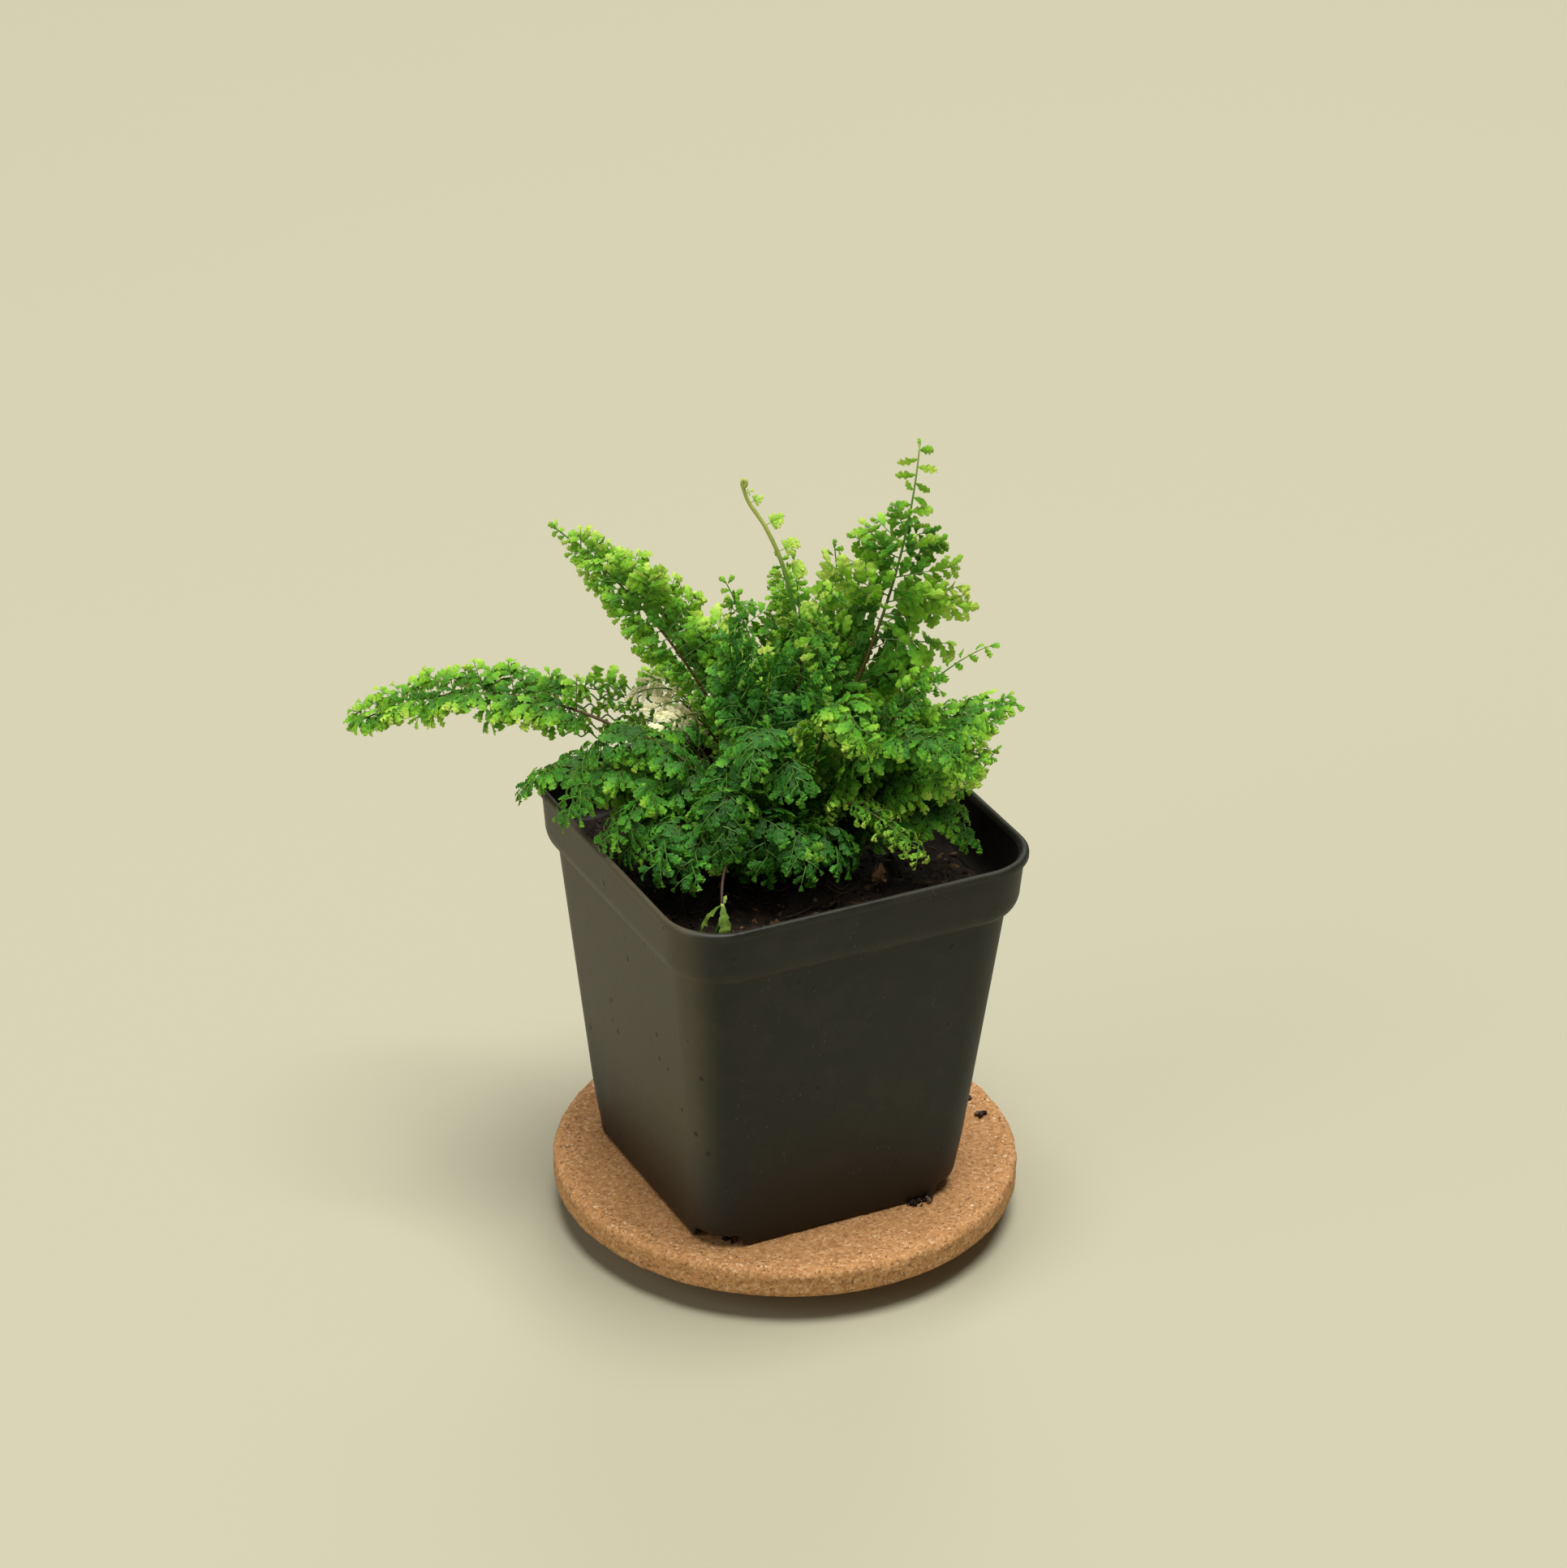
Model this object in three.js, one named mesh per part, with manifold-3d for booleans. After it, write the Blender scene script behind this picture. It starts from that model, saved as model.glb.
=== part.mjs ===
// Potted lace fern in a square nursery pot on a round cork stand.
// Millimetres, +Z up. The origin is on the pot's upright axis, at the level the stand rests on.
// -Y is the pot's front face; every frond's route is given from the stems' common foot level.

import * as THREE from 'three';
import { mergeVertices } from 'three/addons/utils/BufferGeometryUtils.js';
import Module from 'manifold-3d';

const wasm = await Module();
wasm.setup();

// ---- driving dimensions -------------------------------------------------------------------

const GAP = 0.3; // between solids that touch

const STAND_RADIUS = 54.5;
const STAND_LIFT = 7; // height of the narrower foot under the plate
const STAND_PLATE = 7.2;
const STAND_FOOT_RADIUS = 37;
const STAND_DISH = 0.6; // depth of the dished middle
const STAND_LIP = 9; // width of the soft raised lip
const STAND_LOWER_ROUND = 1.4;
const STAND_UPPER_ROUND = 2;
const STAND_SIDES = 56;
const STAND_CENTRE = [3.6, 1.8]; // the pot stands a little off the middle

const POT_HALF = 45; // half of the 90 mm rim
const POT_HEIGHT = 90.9;
const POT_BASE_HALF = 33.1;
const POT_BASE_CORNER = 8.6;
const POT_RIM_CORNER = 13.3;
const POT_FOOT_ROUND = 1;
const POT_BODY_INSET = 3.9; // how far the outside lies within the rim: at the body's top,
const POT_STEP_INSET = 2.1; // halfway up the step
const POT_BAND_INSET = 1.4; // and at the foot of the band
const POT_WALL = 1.2;
const POT_LIP_WALL = 1.6;
const POT_LIP_HEIGHT = 2;
const POT_LIP_STEP = 0.8;
const POT_BAND_HEIGHT = 10; // the plain band under the rim
const POT_STEP_HEIGHT = 5; // the rounded step below the band
const POT_FLOOR_LIFT = 2.6; // the floor stands above the foot edge
const POT_CORNER_SIDES = 6; // facets round each upright corner
const DRAIN_RADIUS = 3.2;
const DRAIN_OFFSET = 21;
const CORNER_NOTCH_HEIGHT = 3;
const CORNER_NOTCH_START = 38.5; // distance from the axis along the diagonal

const SOIL_BELOW_RIM = 15; // at the wall
const SOIL_RISE = 3.4; // towards the crown
const SOIL_ROUGHNESS = 0.7;
const SOIL_RINGS = [0.88, 0.72, 0.54, 0.34, 0.14]; // shares of the way from the axis to the wall

const STEM_FOOT_BELOW_RIM = 12.8;
const CROWN_CENTRE = [1, 2];
const CROWN_RADIUS = 13.5;
const CROWN_RISE = 3.6; // above the stems' foot level
const CROWN_DEPTH = 3;
const CROWN_SHOULDER = 0.5; // where the crown is widest

const RIB_HALF_WIDTH = 0.7;
const BLADE_THICKNESS = 0.8;
const SOCKET_RADIUS = 1.5;
const SOCKET_LENGTH = 9;
const STALK_STEP = 7; // spacing of the stalk's sections
const LEAFLET_LEAN = 0.5; // radians, towards the frond's tip
const LEAFLET_WIDTH = 0.39; // half-width as a share of the spacing
const FIRST_LEAFLET = 0.7; // reach of the lowest leaflet, as a share of the longest
const LAST_LEAFLET = 0.17; // and of the topmost one
const BLADE_END = 0.95; // share of the rib where the last leaflets stand
const TIP_OVERHANG = 1.5;
const TIP_HALF_WIDTH = 1.2;

// How much one leaflet may differ from the next: shares, and radians for tilt and lean.
const CUP_MEAN = 1.05;
const CUP_SPREAD = 0.25;
const TILT_SPREAD = 0.25;
const LEAN_SPREAD = 0.1;
const OUTLINE_SPREAD = 0.06;
const REACH_SPREAD = 0.08;

const STAND_TOP = STAND_LIFT + STAND_PLATE;
const POT_FOOT_Z = STAND_TOP - STAND_DISH + GAP;
const RIM_Z = POT_FOOT_Z + POT_HEIGHT;
const STEM_FOOT_Z = RIM_Z - STEM_FOOT_BELOW_RIM;

// The pot's corners are rounder where it is wider.
function cornerRadius(half) {
  const share = (half - POT_BASE_HALF) / (POT_HALF - POT_BASE_HALF);
  return POT_BASE_CORNER + share * (POT_RIM_CORNER - POT_BASE_CORNER);
}

// The pot's outside, by height above its foot: flared body, rounded step, band and lip.
const STEP_TOP = POT_HEIGHT - POT_BAND_HEIGHT;
const STEP_FOOT = STEP_TOP - POT_STEP_HEIGHT;
const LIP_FOOT = POT_HEIGHT - POT_LIP_HEIGHT;
const potProfile = [
  [0, POT_BASE_HALF - POT_FOOT_ROUND],
  [POT_FOOT_ROUND, POT_BASE_HALF],
  [STEP_FOOT, POT_HALF - POT_BODY_INSET],
  [STEP_FOOT + POT_STEP_HEIGHT / 2, POT_HALF - POT_STEP_INSET],
  [STEP_TOP, POT_HALF - POT_BAND_INSET],
  [LIP_FOOT, POT_HALF - POT_LIP_STEP],
  [LIP_FOOT + POT_LIP_STEP / 2, POT_HALF],
  [POT_HEIGHT, POT_HALF],
].map(([z, half]) => ({ z, half, corner: cornerRadius(half) }));

// Each frond's rib is one cubic curve: foot, two handles, tip. Heights are above the stem foot
// level. pairs: leaflet pairs; reach: longest leaflet; bare: share of the rib that is stalk;
// full: share of the blade with leaflets at full reach; taper: how fast they shorten after it;
// cup: radius the blade arches to; roll: degrees that the blade is turned about its rib.
const FRONDS = [
  { name: 'frond_long_left', tone: 'fresh', pairs: 9, reach: 11, bare: 0.3, taper: 0.4, cup: 13,
    route: [[-7, 9, 0], [-13, 10, 23], [-45, 46, 40], [-79, 65, 21]] },
  { name: 'frond_upper_left', tone: 'fresh', pairs: 8, reach: 14, bare: 0.34, full: 0.4, taper: 0.8,
    cup: 20, roll: -60, route: [[-4, 6, 0], [-1, 9, 19], [-13, 19, 53], [-40, 38, 77]] },
  { name: 'frond_tall_right', tone: 'fresh', pairs: 9, reach: 19, bare: 0.34, full: 0.45, taper: 1.2,
    cup: 26, roll: 62, route: [[3, 1, 0], [7, 2, 24], [28, -4, 52], [33, 0, 100]] },
  { name: 'frond_back_centre', tone: 'fresh', pairs: 5, reach: 9, bare: 0.42, taper: 0.7, cup: 16,
    route: [[2, 4, 0], [3, 8, 16], [12, 28, 34], [3, 37, 55]] },
  { name: 'frond_back_right_tall', tone: 'fresh', pairs: 6, reach: 9, bare: 0.4, taper: 0.8, cup: 18,
    route: [[6, 6, 0], [11, 11, 15], [26, 17, 35], [23, 21, 67]] },
  { name: 'frond_right_upper', tone: 'fresh', pairs: 6, reach: 10, bare: 0.4, taper: 0.6, cup: 15,
    route: [[7, 1, 0], [13, 2, 15], [26, -15, 51], [40, -25, 59]] },
  { name: 'frond_right_middle', tone: 'fresh', pairs: 5, reach: 11, bare: 0.36, taper: 0.6, cup: 15,
    route: [[10, -3, 0], [17, -7, 14], [21, -21, 39], [44, -31, 46]] },
  { name: 'frond_right_low', tone: 'leaf', pairs: 5, reach: 9, bare: 0.36, taper: 0.5, cup: 14,
    route: [[7, -6, 0], [14, -15, 12], [24, -27, 33], [33, -34, 13]] },
  { name: 'frond_right_inner', tone: 'leaf', pairs: 5, reach: 10, bare: 0.4, taper: 0.5, cup: 14,
    route: [[6, -2, 0], [10, -6, 12], [13, -26, 60], [27, -39, 35]] },
  { name: 'frond_back_left_lace', tone: 'leaf', pairs: 6, reach: 10, bare: 0.34, taper: 0.6, cup: 18,
    route: [[-3, 12, 0], [-5, 19, 20], [-12, 39, 32], [-37, 60, 25]] },
  { name: 'frond_back_left', tone: 'leaf', pairs: 5, reach: 10, bare: 0.34, taper: 0.6, cup: 16,
    route: [[1, 12, 0], [1, 20, 18], [7, 37, 34], [-5, 60, 21]] },
  { name: 'frond_left_low', tone: 'leaf', pairs: 6, reach: 8, bare: 0.34, taper: 0.5, cup: 13,
    route: [[-9, 6, 0], [-20, 7, 14], [-42, 22, 35], [-51, 32, 12]] },
  { name: 'frond_left_front', tone: 'leaf', pairs: 5, reach: 9, bare: 0.34, taper: 0.5, cup: 13,
    route: [[-10, 2, 0], [-18, 3, 15], [-38, 8, 47], [-51, 7, 17]] },
  { name: 'frond_left_inner', tone: 'leaf', pairs: 5, reach: 10, bare: 0.4, taper: 0.5, cup: 13,
    route: [[-5, 1, 0], [-11, 1, 14], [-34, 7, 57], [-45, 14, 25]] },
  { name: 'frond_front_left', tone: 'deep', pairs: 5, reach: 9, bare: 0.36, taper: 0.5, cup: 12,
    route: [[-9, -2, 0], [-18, -6, 12], [-32, -8, 34], [-38, -14, 11]] },
  { name: 'frond_front', tone: 'deep', pairs: 5, reach: 9, bare: 0.36, taper: 0.5, cup: 12,
    route: [[-6, -6, 0], [-13, -12, 14], [-23, -14, 50], [-26, -24, 17]] },
  { name: 'frond_front_right', tone: 'deep', pairs: 5, reach: 9, bare: 0.36, taper: 0.5, cup: 12,
    route: [[-2, -8, 0], [-5, -17, 13], [-11, -20, 34], [-8, -31, 12]] },
  { name: 'frond_front_curled', tone: 'bright', pairs: 5, reach: 7, bare: 0.42, taper: 0.3, cup: 8,
    route: [[4, -8, 0], [8, -17, 16], [-3, -16, 38], [18, -39, 16]] },
  { name: 'frond_centre_left', tone: 'deep', pairs: 5, reach: 11, bare: 0.44, taper: 0.5, cup: 14,
    route: [[0, 0, 0], [-2, -2, 15], [-12, 10, 45], [-7, 12, 62]] },
  { name: 'frond_centre_front', tone: 'deep', pairs: 5, reach: 10, bare: 0.42, taper: 0.5, cup: 14,
    route: [[-3, -3, 0], [-7, -6, 18], [-6, -4, 58], [-21, -25, 37]] },
  { name: 'frond_centre_right', tone: 'bright', pairs: 5, reach: 10, bare: 0.42, taper: 0.5, cup: 14,
    route: [[2, -4, 0], [3, -8, 18], [8, -6, 66], [7, -29, 37]] },
  { name: 'frond_pale', tone: 'pale', pairs: 4, reach: 7, bare: 0.45, taper: 0.4, cup: 14,
    route: [[0, 8, 0], [0, 13, 16], [-9, 20, 27], [-11, 32, 39]] },
  { name: 'frond_back_far_right', tone: 'leaf', pairs: 5, reach: 10, bare: 0.38, taper: 0.6, cup: 15,
    route: [[10, 7, 0], [20, 11, 12], [25, 12, 42], [51, 20, 27]] },
  { name: 'frond_back_far', tone: 'leaf', pairs: 5, reach: 10, bare: 0.38, taper: 0.6, cup: 15,
    route: [[7, 10, 0], [14, 18, 12], [10, 24, 40], [30, 41, 28]] },
  { name: 'frond_right_back', tone: 'leaf', pairs: 5, reach: 10, bare: 0.38, taper: 0.6, cup: 15,
    route: [[12, 2, 0], [23, 1, 12], [26, -2, 34], [52, -5, 26]] },
  { name: 'sprig_right', tone: 'bright', pairs: 4, reach: 4, bare: 0.4, taper: 0.4, cup: 10, inSoil: true,
    route: [[22, -9, -3], [25, -10, 11], [37, -16, 12], [44, -20, 29]] },
  { name: 'shoot_corner', tone: 'bright', pairs: 2, reach: 4, bare: 0.5, taper: 0.3, cup: 8, inSoil: true,
    route: [[-33, -32, -4], [-33, -32, 12], [-28, -33, 9], [-34, -31, 14]] },
];

// The fiddlehead's stalk passes through these points, then winds into its crozier.
const FIDDLEHEAD_ROUTE = [
  [-1, 3, 0], [0, 4, 13], [7, 8, 34], [11, 11, 50], [8, 13, 66], [4, 15, 77], [0, 18, 86],
];
const FIDDLEHEAD_RADIUS = 0.7;
const CROZIER_RADIUS = 1.9;
const CROZIER_TURN = 5; // radians that the tip winds through
const CROZIER_TIGHTENING = 0.018;
const FIDDLEHEAD_STEPS = 44;

const TONES = {
  fresh: { color: 0x6fae2f, roughness: 0.55 },
  leaf: { color: 0x3f8a2b, roughness: 0.55 },
  deep: { color: 0x1f6a2a, roughness: 0.6 },
  bright: { color: 0x9cc63c, roughness: 0.5 },
  pale: { color: 0xd8cf9a, roughness: 0.75 },
};

// ---- solids and booleans ------------------------------------------------------------------

function toManifold(geometry) {
  const bare = geometry.clone();
  bare.deleteAttribute('normal');
  bare.deleteAttribute('uv');
  const merged = mergeVertices(bare, 1e-4);
  return new wasm.Manifold(new wasm.Mesh({
    numProp: 3,
    vertProperties: new Float32Array(merged.attributes.position.array),
    triVerts: new Uint32Array(merged.index.array),
  }));
}

function toGeometry(solid) {
  const mesh = solid.getMesh();
  const geometry = new THREE.BufferGeometry();
  geometry.setAttribute('position', new THREE.BufferAttribute(new Float32Array(mesh.vertProperties), 3));
  geometry.setIndex(new THREE.BufferAttribute(new Uint32Array(mesh.triVerts), 1));
  geometry.computeVertexNormals();
  return geometry;
}

function geometryFrom(points, faces) {
  const geometry = new THREE.BufferGeometry();
  geometry.setFromPoints(points);
  geometry.setIndex(faces.flat());
  geometry.computeVertexNormals();
  return geometry;
}

// A closed solid through rings of equally many points, bottom to top, each ring anticlockwise.
function loft(rings) {
  const count = rings[0].length;
  const points = rings.flat();
  const faces = [];
  for (let ring = 0; ring + 1 < rings.length; ring += 1) {
    for (let i = 0; i < count; i += 1) {
      const a = ring * count + i;
      const b = ring * count + ((i + 1) % count);
      faces.push([a, b, b + count], [a, b + count, a + count]);
    }
  }
  const middle = (ring) => ring.reduce((sum, p) => sum.add(p), new THREE.Vector3()).divideScalar(count);
  const bottom = points.push(middle(rings[0])) - 1;
  const top = points.push(middle(rings.at(-1))) - 1;
  const last = (rings.length - 1) * count;
  for (let i = 0; i < count; i += 1) {
    const next = (i + 1) % count;
    faces.push([bottom, next, i], [top, last + i, last + next]);
  }
  return geometryFrom(points, faces);
}

function seededRandom(seed) {
  let state = seed;
  return () => {
    state = (state * 1664525 + 1013904223) % 4294967296;
    return state / 4294967296;
  };
}

// A draw between minus and plus the spread.
function vary(random, spread) {
  return spread * (2 * random() - 1);
}

// ---- stand --------------------------------------------------------------------------------

function standGeometry() {
  const r = STAND_RADIUS;
  const [low, high] = [STAND_LOWER_ROUND, STAND_UPPER_ROUND];
  const dishZ = STAND_TOP - STAND_DISH;
  const profile = new THREE.Path();
  profile.moveTo(0, 0);
  profile.lineTo(STAND_FOOT_RADIUS, 0);
  profile.lineTo(STAND_FOOT_RADIUS, STAND_LIFT);
  profile.absarc(r - low, STAND_LIFT + low, low, -Math.PI / 2, 0);
  profile.absarc(r - high, STAND_TOP - high, high, 0, Math.PI / 2);
  profile.lineTo(r - STAND_LIP / 2, STAND_TOP);
  profile.lineTo(r - STAND_LIP, dishZ);
  profile.lineTo(0, dishZ);
  const geometry = new THREE.LatheGeometry(profile.getPoints(1), STAND_SIDES);
  geometry.rotateX(Math.PI / 2);
  geometry.translate(STAND_CENTRE[0], STAND_CENTRE[1], 0);
  return toGeometry(toManifold(geometry));
}

// ---- pot ----------------------------------------------------------------------------------

// A square ring with rounded corners at height z above the pot's foot.
function squareRing(half, corner, z) {
  const points = [];
  for (let quarter = 0; quarter < 4; quarter += 1) {
    const turn = (quarter * Math.PI) / 2;
    const middle = new THREE.Vector2(half - corner, half - corner).rotateAround(new THREE.Vector2(), turn);
    for (let i = 0; i <= POT_CORNER_SIDES; i += 1) {
      const angle = turn + (i / POT_CORNER_SIDES) * (Math.PI / 2);
      points.push(new THREE.Vector3(
        middle.x + corner * Math.cos(angle),
        middle.y + corner * Math.sin(angle),
        POT_FOOT_Z + z,
      ));
    }
  }
  return points;
}

// Half-width and corner radius of the pot's outside at a height above its foot.
function potOutside(z) {
  const upper = Math.max(1, potProfile.findIndex((row) => row.z >= z));
  const [low, high] = [potProfile[upper - 1], potProfile[upper]];
  const share = (z - low.z) / (high.z - low.z);
  return {
    half: THREE.MathUtils.lerp(low.half, high.half, share),
    corner: THREE.MathUtils.lerp(low.corner, high.corner, share),
  };
}

function insideRing(z, inset) {
  const { half, corner } = potOutside(z);
  return squareRing(half - inset, corner - inset, z);
}

function potGeometry() {
  const floorTop = POT_FLOOR_LIFT + POT_WALL;
  const outside = loft(potProfile.map((row) => squareRing(row.half, row.corner, row.z)));
  const inside = loft([
    insideRing(floorTop, POT_WALL),
    insideRing(STEP_FOOT, POT_WALL),
    insideRing(STEP_FOOT + POT_STEP_HEIGHT / 2, POT_WALL),
    insideRing(STEP_TOP, POT_WALL),
    insideRing(LIP_FOOT, POT_WALL),
    insideRing(POT_HEIGHT, POT_LIP_WALL),
    insideRing(POT_HEIGHT, POT_LIP_WALL).map((p) => p.setZ(RIM_Z + 1)),
  ]);
  const recess = loft([
    insideRing(POT_FLOOR_LIFT, POT_WALL).map((p) => p.setZ(POT_FOOT_Z - 1)),
    insideRing(POT_FLOOR_LIFT, POT_WALL),
  ]);
  let pot = toManifold(outside).subtract(toManifold(inside)).subtract(toManifold(recess));
  const drains = [[0, 0], [1, 1], [-1, 1], [-1, -1], [1, -1]];
  for (const [x, y] of drains) {
    const drain = new THREE.CylinderGeometry(DRAIN_RADIUS, DRAIN_RADIUS, 4, 10);
    drain.rotateX(Math.PI / 2);
    drain.translate(x * DRAIN_OFFSET, y * DRAIN_OFFSET, POT_FOOT_Z + POT_FLOOR_LIFT + POT_WALL / 2);
    pot = pot.subtract(toManifold(drain));
  }
  for (let quarter = 0; quarter < 4; quarter += 1) {
    const notch = new THREE.BoxGeometry(POT_BASE_HALF, POT_BASE_HALF, 2 * CORNER_NOTCH_HEIGHT);
    notch.translate(CORNER_NOTCH_START + POT_BASE_HALF / 2, 0, POT_FOOT_Z);
    notch.rotateZ(Math.PI / 4 + (quarter * Math.PI) / 2);
    pot = pot.subtract(toManifold(notch));
  }
  return toGeometry(pot);
}

// ---- soil and crown -----------------------------------------------------------------------

// Broad humps crossed by a finer slanting ripple.
function soilBump(x, y) {
  return Math.sin(0.41 * x + 1.3) * Math.cos(0.37 * y) + 0.6 * Math.sin(0.83 * x - 0.71 * y);
}

function soilGeometry(sockets) {
  const top = POT_HEIGHT - SOIL_BELOW_RIM;
  const sides = [POT_FLOOR_LIFT + POT_WALL + GAP, top].map((z) => insideRing(z, POT_WALL + GAP));
  const surface = SOIL_RINGS.map((share) => sides[1].map((p) => {
    const rise = SOIL_RISE * (1 - share * share) + SOIL_ROUGHNESS * soilBump(p.x * share, p.y * share);
    return new THREE.Vector3(p.x * share, p.y * share, p.z + rise);
  }));
  let soil = toManifold(loft([...sides, ...surface])).subtract(toManifold(crownPocketGeometry()));
  for (const socket of sockets) {
    soil = soil.subtract(socket);
  }
  return toGeometry(soil);
}

// A ring round the crown with the knobs of old stem bases.
function crownRing(radius, z, knob) {
  const count = 20;
  return Array.from({ length: count }, (_, i) => {
    const angle = (i / count) * 2 * Math.PI;
    const r = radius * (1 + knob * Math.sin(5 * angle + z));
    const [x, y] = CROWN_CENTRE;
    return new THREE.Vector3(x + r * Math.cos(angle), y + r * Math.sin(angle), z);
  });
}

function crownGeometry() {
  return loft([
    crownRing(CROWN_RADIUS * 0.7, STEM_FOOT_Z - CROWN_DEPTH, 0),
    crownRing(CROWN_RADIUS, STEM_FOOT_Z + CROWN_SHOULDER, 0),
    crownRing(CROWN_RADIUS * 0.9, STEM_FOOT_Z + 0.55 * CROWN_RISE, 0.04),
    crownRing(CROWN_RADIUS * 0.62, STEM_FOOT_Z + 0.85 * CROWN_RISE, 0.06),
    crownRing(CROWN_RADIUS * 0.25, STEM_FOOT_Z + CROWN_RISE, 0.08),
  ]);
}

// The hollow in the soil that the crown sits in, open upwards.
function crownPocketGeometry() {
  return loft([
    crownRing(CROWN_RADIUS * 0.7 + GAP, STEM_FOOT_Z - CROWN_DEPTH - GAP, 0),
    crownRing(CROWN_RADIUS + GAP, STEM_FOOT_Z + CROWN_SHOULDER, 0),
    crownRing(CROWN_RADIUS + GAP, RIM_Z, 0),
  ]);
}

// The plain hole that a stem stands in, along the start of its rib.
function socketSolid(curve) {
  const direction = curve.getTangentAt(0);
  const socket = new THREE.CylinderGeometry(SOCKET_RADIUS, SOCKET_RADIUS, SOCKET_LENGTH, 6);
  socket.translate(0, SOCKET_LENGTH / 2 - GAP, 0);
  socket.applyQuaternion(new THREE.Quaternion().setFromUnitVectors(new THREE.Vector3(0, 1, 0), direction));
  const foot = curve.getPointAt(0);
  socket.translate(foot.x, foot.y, foot.z);
  return toManifold(socket);
}

// ---- fronds -------------------------------------------------------------------------------

// A thin sheet kept as matching upper and lower points, closed by a wall round its free edge.
class Sheet {
  constructor() {
    this.upper = [];
    this.lower = [];
    this.faces = [];
  }

  addPoint(point, normal) {
    this.upper.push(point.clone().addScaledVector(normal, BLADE_THICKNESS / 2));
    this.lower.push(point.clone().addScaledVector(normal, -BLADE_THICKNESS / 2));
    return this.upper.length - 1;
  }

  // outline: flat points of a polygon; ids: the sheet points they belong to.
  addPolygon(outline, ids) {
    for (const [a, b, c] of THREE.ShapeUtils.triangulateShape(outline, [])) {
      const ab = outline[b].clone().sub(outline[a]);
      const ac = outline[c].clone().sub(outline[a]);
      this.faces.push(ab.cross(ac) > 0 ? [ids[a], ids[b], ids[c]] : [ids[a], ids[c], ids[b]]);
    }
  }

  toGeometry() {
    const count = this.upper.length;
    const edges = new Set(this.faces.flatMap(([a, b, c]) => [`${a},${b}`, `${b},${c}`, `${c},${a}`]));
    const faces = this.faces.flatMap(([a, b, c]) => [[a, b, c], [a + count, c + count, b + count]]);
    for (const edge of edges) {
      const [a, b] = edge.split(',').map(Number);
      if (!edges.has(`${b},${a}`)) {
        faces.push([b, a, a + count], [b, a + count, b + count]);
      }
    }
    return geometryFrom([...this.upper, ...this.lower], faces);
  }
}

// Outline of a lobed leaflet: share of its length, share of its half-width.
const LEAFLET_OUTLINE = [
  [0.26, -1], [0.47, -0.5], [0.7, -0.9], [1, -0.1], [0.76, 0.85], [0.5, 0.45], [0.3, 1],
];
const TIP_OUTLINE = [[0.45, -1], [1, 0], [0.45, 1]];

function ribCurve(spec) {
  const points = spec.route.map(([x, y, z]) => new THREE.Vector3(x, y, z + STEM_FOOT_Z));
  return new THREE.CubicBezierCurve3(...points);
}

// Position on the rib with the blade's own axes: along, to the left, and up out of the blade.
function ribFrame(curve, roll, t) {
  const along = curve.getTangentAt(t);
  const heading = curve.getPointAt(1).sub(curve.getPointAt(0)).setZ(0).normalize();
  const left = new THREE.Vector3(-heading.y, heading.x, 0);
  left.addScaledVector(along, -left.dot(along)).normalize();
  left.applyAxisAngle(along, roll);
  return { at: curve.getPointAt(t), along, left, up: new THREE.Vector3().crossVectors(along, left) };
}

// Length of the leaflets at a share of the blade, from its foot to its tip.
function leafletReach(spec, share) {
  const full = spec.full ?? 0.25;
  const rise = Math.min(1, FIRST_LEAFLET + 2 * share);
  const fall = share < full ? 1 : ((1 - share) / (1 - full)) ** spec.taper;
  return spec.reach * rise * Math.max(LAST_LEAFLET, fall);
}

function addLeaflet(sheet, frame, side, roots, size, random) {
  const cup = size.cup * (CUP_MEAN + vary(random, CUP_SPREAD));
  const tilt = vary(random, TILT_SPREAD);
  const lean = LEAFLET_LEAN + vary(random, LEAN_SPREAD);
  const outline = [new THREE.Vector2(-size.root, side * RIB_HALF_WIDTH)];
  const ids = [roots[0]];
  for (const [a, b] of LEAFLET_OUTLINE) {
    const out = a * size.length;
    const across = b * size.halfWidth * (1 + vary(random, OUTLINE_SPREAD));
    const flat = new THREE.Vector2(
      out * Math.sin(lean) + across * Math.cos(lean),
      side * (RIB_HALF_WIDTH + out * Math.cos(lean) - across * Math.sin(lean)),
    );
    const bend = flat.y / cup;
    const normal = frame.up.clone().multiplyScalar(Math.cos(bend));
    normal.addScaledVector(frame.left, Math.sin(bend));
    const point = frame.at.clone()
      .addScaledVector(frame.along, flat.x)
      .addScaledVector(frame.left, cup * Math.sin(bend))
      .addScaledVector(frame.up, cup * (Math.cos(bend) - 1))
      .addScaledVector(normal, across * tilt);
    outline.push(flat);
    ids.push(sheet.addPoint(point, normal));
  }
  outline.push(new THREE.Vector2(size.root, side * RIB_HALF_WIDTH));
  ids.push(roots[1]);
  sheet.addPolygon(outline, ids);
}

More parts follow.
